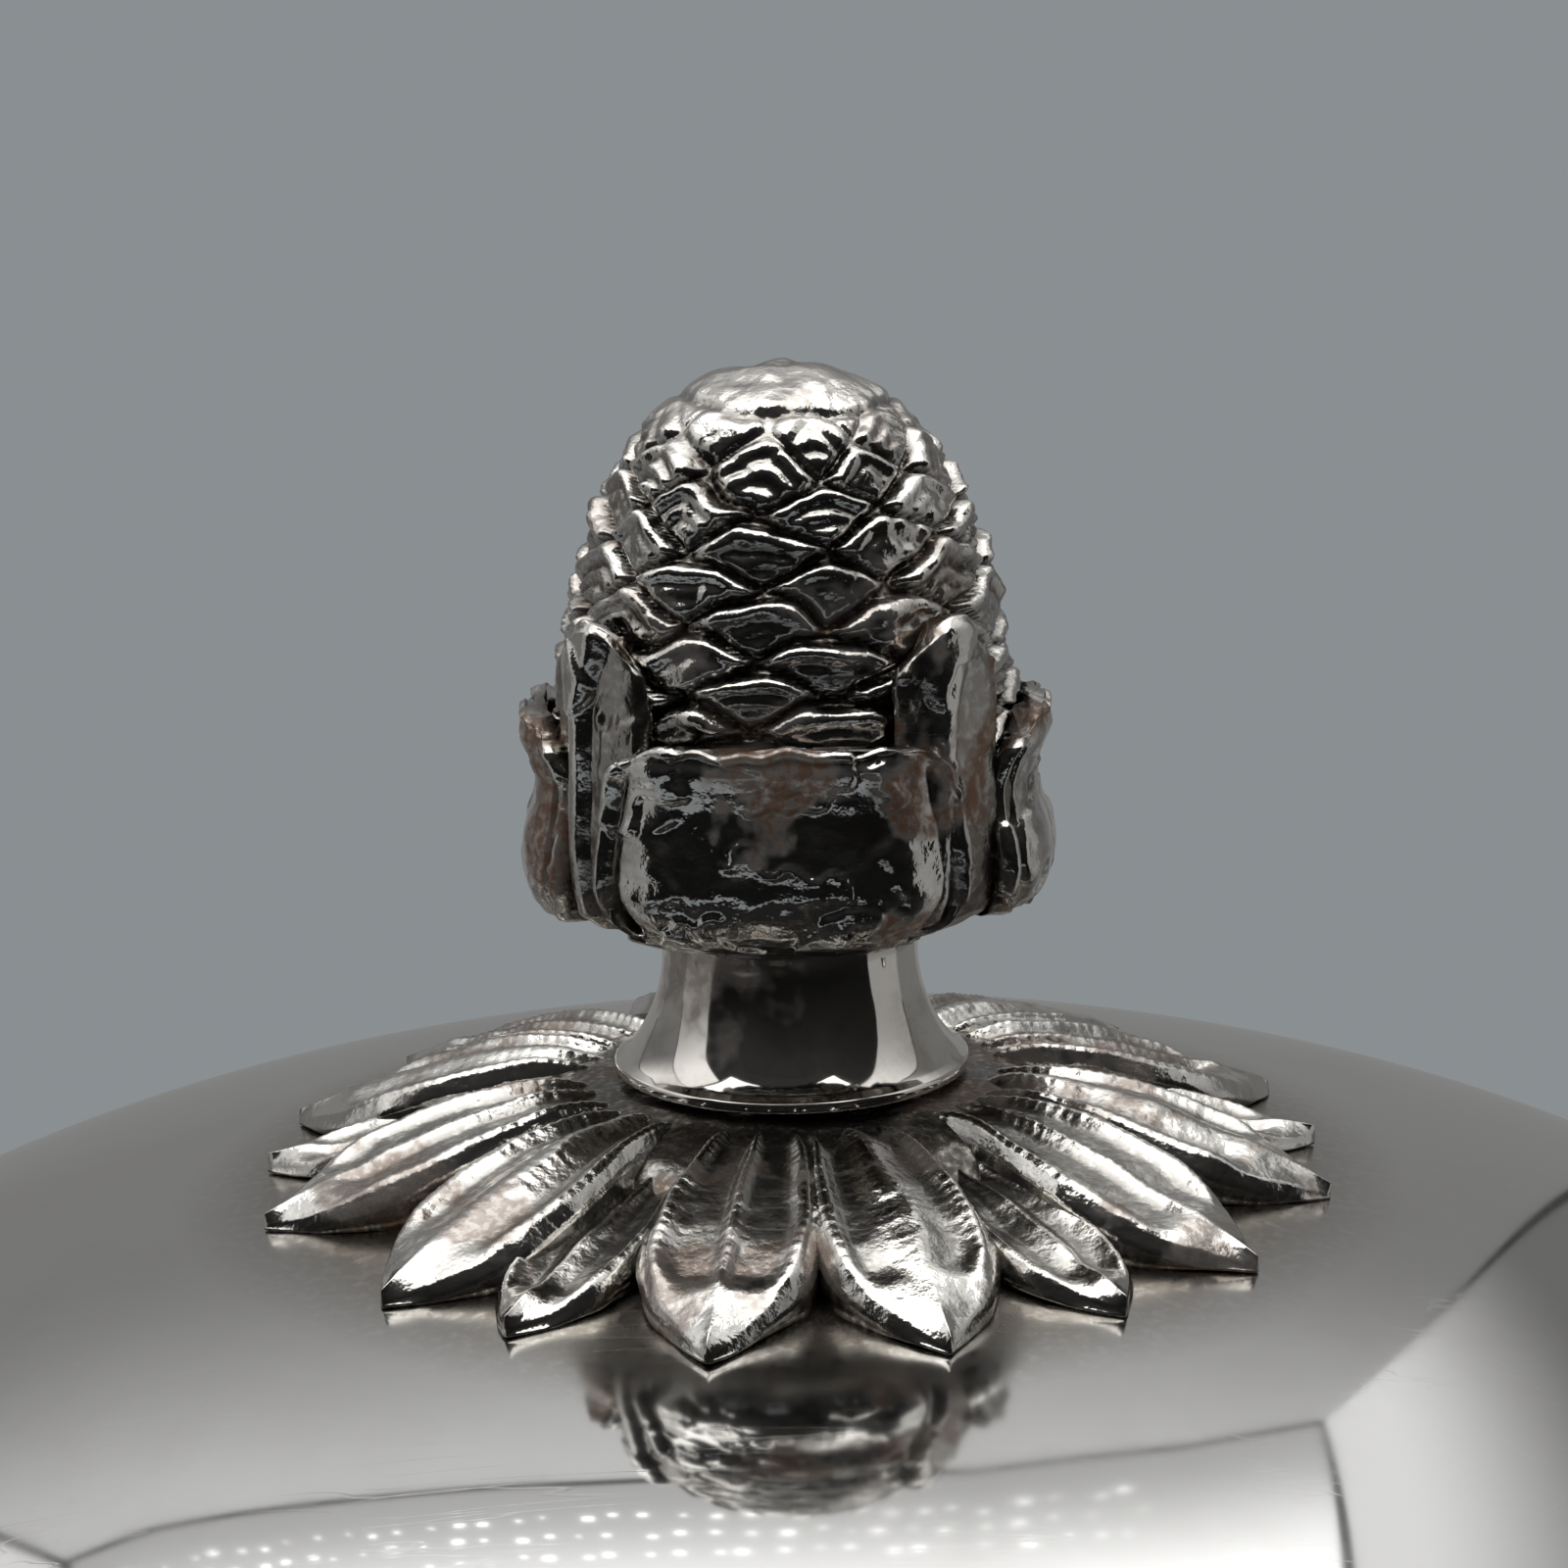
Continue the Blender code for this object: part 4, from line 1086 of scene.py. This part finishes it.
FRONT_LEVELS = [
    (10.0, 8.5, 26), (10.15, 9.0, 33), (10.45, 9.6, 38.5), (10.9, 10.05, 42), (11.6, 10.4, 44.5),
    (12.5, 10.55, 45), (13.6, 10.5, 44.5), (14.7, 10.35, 44), (15.7, 10.3, 43),
    (16.6, 10.4, 41.5), (17.3, 10.55, 39.5), (17.85, 10.5, 37.5), (18.1, 10.35, 35.5),
]
SIDE_LEVELS = [
    (9.95, 8.6, 17), (10.1, 9.2, 22), (10.4, 9.8, 27), (10.9, 10.25, 31), (11.6, 10.6, 33.5),
    (12.5, 10.75, 34.5), (13.6, 10.6, 34.5), (14.7, 10.15, 34), (15.7, 10.05, 33.5),
    (16.6, 10.4, 33), (17.4, 10.75, 31.5), (18.0, 10.7, 29), (18.3, 10.45, 26),
]
TALL_LEVELS = [
    (10.2, 8.8, 14), (10.8, 9.6, 15.5), (11.9, 10.0, 16), (13.2, 10.15, 16), (15.0, 10.2, 16),
    (17.0, 10.2, 16), (19.0, 10.2, 15.5), (20.8, 10.15, 15), (22.0, 9.95, 12), (22.6, 9.65, 9),
]
calyx_silver = silver(
    "calyx silver", (0.70, 0.685, 0.65), (0.075, 0.058, 0.042), 0.10, tarnish_cover=0.65,
    cloud_size=0.0030, grain_size=0.0004, grain_depth=0.000035, dent_size=0.0021, dent_depth=0.00020,
    scratches=0.7, dulling=0.16, stain_cover=0.9,
)
calyx = clustered(
    "finial_calyx_cast",
    turned("calyx_cup", cup, 128, 0.85),
    (
        (calyx_leaf("front_leaf", FRONT_LEVELS, front_section, broad_depth), 2, radians(-2.0)),
        (calyx_leaf("side_leaf", SIDE_LEVELS, broad_section, broad_depth), 2, radians(88.0)),
        (calyx_leaf("tall_leaf", TALL_LEVELS, tall_section, tall_depth, 0.8, 49), 4, radians(41.0)),
    ),
    {"Lump Depth": 0.00034, "Pit Depth": 0.00011, "Torn Depth": 0.00016, "Seed": 3,
     "Finish": calyx_silver},
)
add_piece("finial_calyx_cast", calyx, calyx_silver, "lid", "calyx_silver", "finial_calyx")


# Pine cone ------------------------------------------------------------------------------------
# A cast and chased cone whose scales overlap in slanting rows, nine to a ring. Each has a bright
# raised upper rim with chevrons and painted shadow under it, and deep grooves between. Its front and top
# are worn smooth.

CONE_RADIUS = 0.0094
CONE_FULLNESS = 2.5
CONE_FLATTENING = 0.0003
CONE_WIDEST_RISE = 0.0065
CONE_FOOT_MARGIN = 0.0026
CONE_TIP_MARGIN = 0.0001
CONE_BORE_DEPTH = 0.0073
cone_low, cone_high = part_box("finial_cone")
middle = cone_low.z + CONE_WIDEST_RISE
tip = cone_high.z - CONE_TIP_MARGIN
bore_end = cone_low.z + CONE_BORE_DEPTH
rise = np.sin(np.linspace(0, pi / 2, 148))
bulge = CONE_RADIUS * np.sqrt(np.clip(1 - rise**CONE_FULLNESS, 0, 1))
bulge = bulge - CONE_FLATTENING * np.sin(pi * rise) ** 2
side = np.stack([bulge, middle + (tip - middle) * rise], axis=1)
lower = arc(
    (CONE_RADIUS - CONE_FOOT_MARGIN, cone_low.z), (CONE_RADIUS - 0.0008, cone_low.z + 0.0001),
    (CONE_RADIUS, cone_low.z + 0.0018), (CONE_RADIUS, cone_low.z + 0.0034), 10,
)
upper_side = np.linspace(lower[-1][1], middle, 26)[1:-1]
profile = [(0.0, bore_end), (STUD_BORE, bore_end), (STUD_BORE, cone_low.z)]
profile += lower + [(CONE_RADIUS, float(level)) for level in upper_side] + side.tolist()
blank = turned("cone_blank", profile, 480)

scaled, given, results = new_group(
    "pine_cone_scales",
    "GeometryNodeTree",
    {
        "Cone": ("shape",), "Scales Round": ("number", 9.0), "First Turn": ("number", radians(7.5)),
        "Row Rise": ("number", 0.0028), "First Row": ("number", 0.0), "Last Row": ("number", 0.1),
        "Lean": ("number", 0.00027), "Rim Height": ("number", 0.00017),
        "Groove Depth": ("number", 0.00055), "Chevron Depth": ("number", 0.00021),
        "Chevrons": ("number", 4.2), "Roughness Depth": ("number", 0.0005),
        "Uneven Lift": ("number", 0.00018), "Sink": ("number", 0.00006),
        "Worn Rows": ("number", 0.0036), "Band Rise": ("number", 0.0014),
        "Crease Depth": ("number", 0.00018), "Fold Depth": ("number", 0.0006),
        "Straggle": ("number", 0.75), "Front Wear": ("number", 0.6), "Seed": ("number", 2.0),
        "Finish": ("finish",),
    },
    {"Cone": "shape"},
)


def bump_at(tree, value, centre, width):
    """A soft bump from 0 to 1 where the value is near the centre."""
    away = reckon(tree, "POWER", (value - centre) / width, 2.0)
    return reckon(tree, "EXPONENT", away * -1.0)


def straggle(tree, size, seed):
    """Seeded noise about 0, for edges and rows that aren't quite straight."""
    return Sum(tree, cast_noise(tree, size, seed, 1.5)["Fac"]) - 0.5


def parts_of(tree, vector):
    """The three numbers in a vector or a colour."""
    split = add_node(tree, "ShaderNodeSeparateXYZ", {0: vector}).outputs
    return [Sum(tree, part) for part in split]


# Where a point lies: rows count up the cone, and two slanting counts cross to make the scales.
across, back, level = parts_of(scaled, add_node(scaled, "GeometryNodeInputPosition").outputs[0])
front = back * -1.0
seed = given["Seed"]
azimuth = reckon(scaled, "ARCTAN2", across, front) + given["First Turn"]
round_count = azimuth * (given["Scales Round"] / (2 * pi))
round_count = straggle(scaled, 0.005, seed) * given["Straggle"] + round_count
above_first = level - given["First Row"]
rows = straggle(scaled, 0.004, seed + 9.0) * given["Straggle"] + above_first / given["Row Rise"]
rightward = rows + round_count
leftward = rows - round_count
right = reckon(scaled, "FRACT", rightward)
left = reckon(scaled, "FRACT", leftward)
right_number = reckon(scaled, "FLOOR", rightward)
left_number = reckon(scaled, "FLOOR", leftward)
column = reckon(scaled, "WRAP", right_number, given["Scales Round"], 0.0)
one_scale = {"X": column, "Y": right_number + left_number, "Z": seed}
one_scale = add_node(scaled, "ShaderNodeCombineXYZ", one_scale).outputs[0]
luck = add_node(scaled, "ShaderNodeTexWhiteNoise", {"Vector": one_scale}).outputs["Color"]
luck = parts_of(scaled, luck)

# The relief of one scale: grooves round it, a ledge, a rim, and chevrons, all worn at the front.
wear = between(scaled, front / CONE_RADIUS, 0.45, 0.95) * given["Front Wear"]
kept = 1.0 - wear
from_rim = 1.0 - reckon(scaled, "SMOOTH_MAX", right, left, wear * 0.9 + 0.18)
from_foot = reckon(scaled, "MINIMUM", right, left)
nearest = reckon(scaled, "MINIMUM", reckon(scaled, "MAXIMUM", from_rim, 0.0), from_foot)
groove = bump_at(scaled, nearest, 0.0, 0.07)
ledge = between(scaled, from_rim, 0.0, 0.2)
rim = bump_at(scaled, from_rim, 0.2, 0.075) * kept
inside = between(scaled, from_rim, 0.16, 0.28) * between(scaled, nearest, 0.05, 0.2)
wave = reckon(scaled, "COSINE", from_rim * (2 * pi * given["Chevrons"])) * -0.5 + 0.5
chevron = wave * inside * kept * (luck[1] * 1.2 + 0.3)
lean = ((right + left) * 0.5 - 0.45) * given["Lean"] * (luck[0] * 1.3 + 0.7) * ledge
relief = rim * given["Rim Height"] + lean
relief = relief - groove * given["Groove Depth"] - chevron * given["Chevron Depth"]
relief = relief + straggle(scaled, 0.0011, seed + 17.0) * given["Roughness Depth"]
relief = relief + (luck[2] - 0.5) * ledge * given["Uneven Lift"] - given["Sink"]

# Scales fade out under the cup's leaves, and into creased bands at the worn top.
fade_from = given["Last Row"] - given["Worn Rows"]
below_top = between(scaled, level, fade_from, given["Last Row"], 1.0, 0.0)
above_cup = between(scaled, above_first, -0.0048, -0.0030)
shown = below_top * above_cup
bands = straggle(scaled, 0.006, seed + 31.0) * 1.6 + above_first / given["Band Rise"]
crease = bump_at(scaled, reckon(scaled, "FRACT", bands), 0.5, 0.10) * (1.0 - below_top)
folds = straggle(scaled, 0.0022, seed + 31.0) * above_cup
relief = relief * shown - crease * given["Crease Depth"] + folds * given["Fold Depth"]
# Darkening stored as the hollow attribute: tarnish in the grooves, chevrons and creases, plus painted
# shadow on each scale's face just under its rim, whose strength varies at random from scale to scale.
recess = (chevron * 0.6 + groove * 1.3 + inside * luck[0] * 0.55) * shown
recess = reckon(scaled, "MULTIPLY_ADD", crease, 0.7, recess, clamp=True)
outward = add_node(scaled, "GeometryNodeInputNormal").outputs[0]
marked = add_node(
    scaled, "GeometryNodeStoreNamedAttribute",
    {"Geometry": given["Cone"], "Name": "hollow", "Value": recess}, data_type="FLOAT", domain="POINT",
).outputs[0]
moved = pushed(scaled, marked, scaled_by(scaled, outward, relief))
smooth = add_node(scaled, "GeometryNodeSetShadeSmooth", {"Geometry": moved}).outputs[0]
fed(scaled, results[0], coated(scaled, joined(scaled, smooth), given["Finish"]))

# Its dark tarnish colour is also the colour of the painted shadow under the scale rims.
cone_silver = silver(
    "cone silver", (0.71, 0.69, 0.655), (0.040, 0.032, 0.024), 0.11, tarnish_cover=0.5,
    cloud_size=0.0018, grain_size=0.00035, grain_depth=0.00004, dent_size=0.0016, dent_depth=0.00022,
    scratches=0.5, dulling=0.16, stain_cover=0.25,
)
FIRST_ROW_RISE = 0.01565
LAST_ROW_DROP = 0.0009
cone = carried_out(
    "pine_cone", blank, scaled,
    {"First Row": calyx_z + FIRST_ROW_RISE, "Last Row": tip - LAST_ROW_DROP, "Finish": cone_silver},
)
add_piece("pine_cone", cone, cone_silver, "lid", "cone_silver", "finial_cone")


# Studio ---------------------------------------------------------------------------------------
# A plain pale floor under an even soft light, inside a light tent whose white walls and lit roof
# only the silver sees. Dark cards close the tent's front and leave dark bands in the reflections.

BACKDROP_TONE = (0.254, 0.275, 0.288)
FLOOR_TONE = (0.58, 0.628, 0.658)
FLOOR_RADIUS = 12.0


def wall_finish(name, tone, low_strength, high_strength, low, high, axis=2):
    """Glowing cloth that brightens from one place to another along an axis."""
    finish = bpy.data.materials.new(name)
    finish.use_nodes = True
    tree = finish.node_tree
    tree.nodes.remove(tree.nodes["Principled BSDF"])
    place = add_node(tree, "ShaderNodeTexCoord").outputs["Object"]
    along = add_node(tree, "ShaderNodeSeparateXYZ", {0: place}).outputs[axis]
    strength = between(tree, along, low, high, low_strength, high_strength)
    glow = add_node(tree, "ShaderNodeEmission", {"Color": (*tone, 1.0), "Strength": strength})
    tree.links.new(glow.outputs[0], tree.nodes["Material Output"].inputs["Surface"])
    return finish


def tent_wall(name, finish, *corners, sides=None):
    """Flat panels of the tent that show only in reflections: one, or several of so many sides."""
    mesh = bpy.data.meshes.new(name)
    faces = np.arange(len(corners)).reshape(-1, sides or len(corners)).tolist()
    mesh.from_pydata(corners, [], faces)
    mesh.materials.append(finish)
    wall = bpy.data.objects.new(name, mesh)
    scene.collection.objects.link(wall)
    wall.visible_camera = False
    wall.visible_diffuse = False
    wall.visible_shadow = False
    wall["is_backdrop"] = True


BACK = 0.33
ROOF_REACH = -0.20
OPENING = -0.335
LEFT = -0.315
RIGHT = 0.168
SEAM = 0.007
ROOF_LINE = [  # the back edge of the roof, which sags at one corner
    (-0.315, 0.550), (-0.258, 0.536), (-0.196, 0.539), (-0.073, 0.539), (0.060, 0.534),
    (0.129, 0.494), (0.168, 0.455),
]
CLOTH = (1.0, 0.995, 0.985)
back_cloth = wall_finish("back cloth", CLOTH, 0.24, 0.70, 0.27, 0.53)
side_cloth = wall_finish("side cloth", CLOTH, 0.18, 0.95, 0.265, 0.41)
roof_cloth = wall_finish("roof cloth", CLOTH, 2.2, 0.55, 0.11, 0.325, 1)
lamp_cloth = wall_finish("lamp cloth", CLOTH, 3.0, 3.0, 0.0, 1.0)
dark_room = wall_finish("dark room", CLOTH, 0.006, 0.03, 0.05, 0.45)
front_cloth = wall_finish("front cloth", CLOTH, 0.33, 1.1, 0.16, 0.42)
back_corners = [(x, BACK, z - SEAM) for x, z in reversed(ROOF_LINE)]
tent_wall("tent_back", back_cloth, (LEFT, BACK, 0.0), (RIGHT - 0.005, BACK, 0.0), *back_corners)
for name, finish, x, far, near, height in (
    ("tent_left", side_cloth, LEFT, BACK - 0.01, 0.08, 0.54),
    ("tent_front_left", front_cloth, LEFT, 0.075, -0.10, 0.54),
    ("tent_front_right", front_cloth, RIGHT, 0.055, -0.05, 0.45),
    ("tent_opening_side", dark_room, RIGHT, -0.05, OPENING, 0.5),
    ("tent_opening_left", dark_room, LEFT, -0.10, OPENING, 0.5),
):
    tent_wall(name, finish, (x, far, 0.0), (x, near, 0.0), (x, near, height), (x, far, height))
tent_wall(
    "tent_right", side_cloth, (RIGHT, BACK - 0.003, 0.0), (RIGHT, 0.06, 0.0), (RIGHT, 0.06, 0.45),
    (RIGHT, BACK, 0.45),
)
tent_wall(
    "tent_opening", dark_room, (LEFT, OPENING, 0.0), (RIGHT, OPENING, 0.0), (RIGHT, OPENING, 0.6),
    (LEFT, OPENING, 0.6),
)
roof = [(x, BACK, z) for x, z in ROOF_LINE]
for number, (near, far) in enumerate(zip(roof, roof[1:])):
    front = [(x, ROOF_REACH, z + 0.02) for x, y, z in (far, near)]
    tent_wall("tent_roof_" + str(number), roof_cloth, near, far, *front)
LAMP_ROWS = 3
LAMP_PITCH = 0.0115
LAMP_STRAY = 0.003
chance = np.random.default_rng(5)
corners = []
for row in range(LAMP_ROWS):
    for place in np.arange(-0.27, 0.11, LAMP_PITCH):
        x = float(place) + chance.uniform(-LAMP_STRAY, LAMP_STRAY)
        y = BACK - 0.045 - 0.02 * row + chance.uniform(-LAMP_STRAY, LAMP_STRAY)
        half = chance.uniform(0.0007, 0.0022)
        level = 0.532 - 0.62 * max(x - 0.06, 0.0)
        corners += [(x - half, y - half, level), (x + half, y - half, level)]
        corners += [(x + half, y + half, level), (x - half, y + half, level)]
tent_wall("tent_lamps", lamp_cloth, *corners, sides=4)

floor_finish = bpy.data.materials.new("floor paper")
floor_finish.use_nodes = True
paper = floor_finish.node_tree.nodes["Principled BSDF"]
paper.inputs["Base Color"].default_value = (*FLOOR_TONE, 1.0)
paper.inputs["Roughness"].default_value = 0.9
paper.inputs["Specular IOR Level"].default_value = 0.0
turns = np.arange(64) * 2 * pi / 64
floor_mesh = bpy.data.meshes.new("floor")
floor_mesh.from_pydata(
    [(FLOOR_RADIUS * cos(t), FLOOR_RADIUS * sin(t), 0.0) for t in turns], [], [tuple(range(64))]
)
floor_mesh.materials.append(floor_finish)
floor = bpy.data.objects.new("floor", floor_mesh)
scene.collection.objects.link(floor)
floor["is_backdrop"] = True

world = bpy.data.worlds.new("studio")
scene.world = world
world.use_nodes = True
sky = world.node_tree
sky.nodes.clear()
path = add_node(sky, "ShaderNodeLightPath").outputs
seen = add_node(sky, "ShaderNodeBackground", {"Color": (*BACKDROP_TONE, 1.0), "Strength": 1.0})
soft = add_node(sky, "ShaderNodeBackground", {"Color": (1.0, 1.0, 1.0, 1.0), "Strength": 0.25})
dark = add_node(sky, "ShaderNodeBackground", {"Color": (1.0, 1.0, 1.0, 1.0), "Strength": 0.035})
mirrored = add_node(
    sky, "ShaderNodeMixShader", {0: path["Is Glossy Ray"], 1: soft.outputs[0], 2: dark.outputs[0]},
)
shown = add_node(
    sky, "ShaderNodeMixShader", {0: path["Is Camera Ray"], 1: mirrored.outputs[0], 2: seen.outputs[0]},
)
out = sky.nodes.new("ShaderNodeOutputWorld")
sky.links.new(shown.outputs[0], out.inputs[0])

lamp = bpy.data.lights.new("overhead softbox", "SUN")
lamp.energy = 0.64
lamp.angle = radians(70)
lamp_object = bpy.data.objects.new("overhead softbox", lamp)
lamp_object.rotation_euler = (radians(18), radians(-14), 0.0)
lamp_object.visible_glossy = False
scene.collection.objects.link(lamp_object)

# The camera looks down on the finial from just in front of it, turned a touch out of level.
CAMERA_BACK = 0.1247
CAMERA_RISE = 0.0415
CAMERA_TILT = radians(77.9)
CAMERA_ROLL = radians(-1.03)
camera = bpy.data.cameras.new("camera")
camera.sensor_width = 36.0
camera.lens = 18.0 / tan(radians(14.0))
camera.clip_start = 0.005
camera_object = bpy.data.objects.new("camera", camera)
camera_object.location = (-0.00012, -CAMERA_BACK, crown + CAMERA_RISE)
aim = Matrix.Rotation(CAMERA_TILT, 4, "X") @ Matrix.Rotation(CAMERA_ROLL, 4, "Z")
camera_object.rotation_euler = aim.to_euler()
scene.collection.objects.link(camera_object)
scene.camera = camera_object
scene.view_settings.view_transform = "Standard"

low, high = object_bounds()
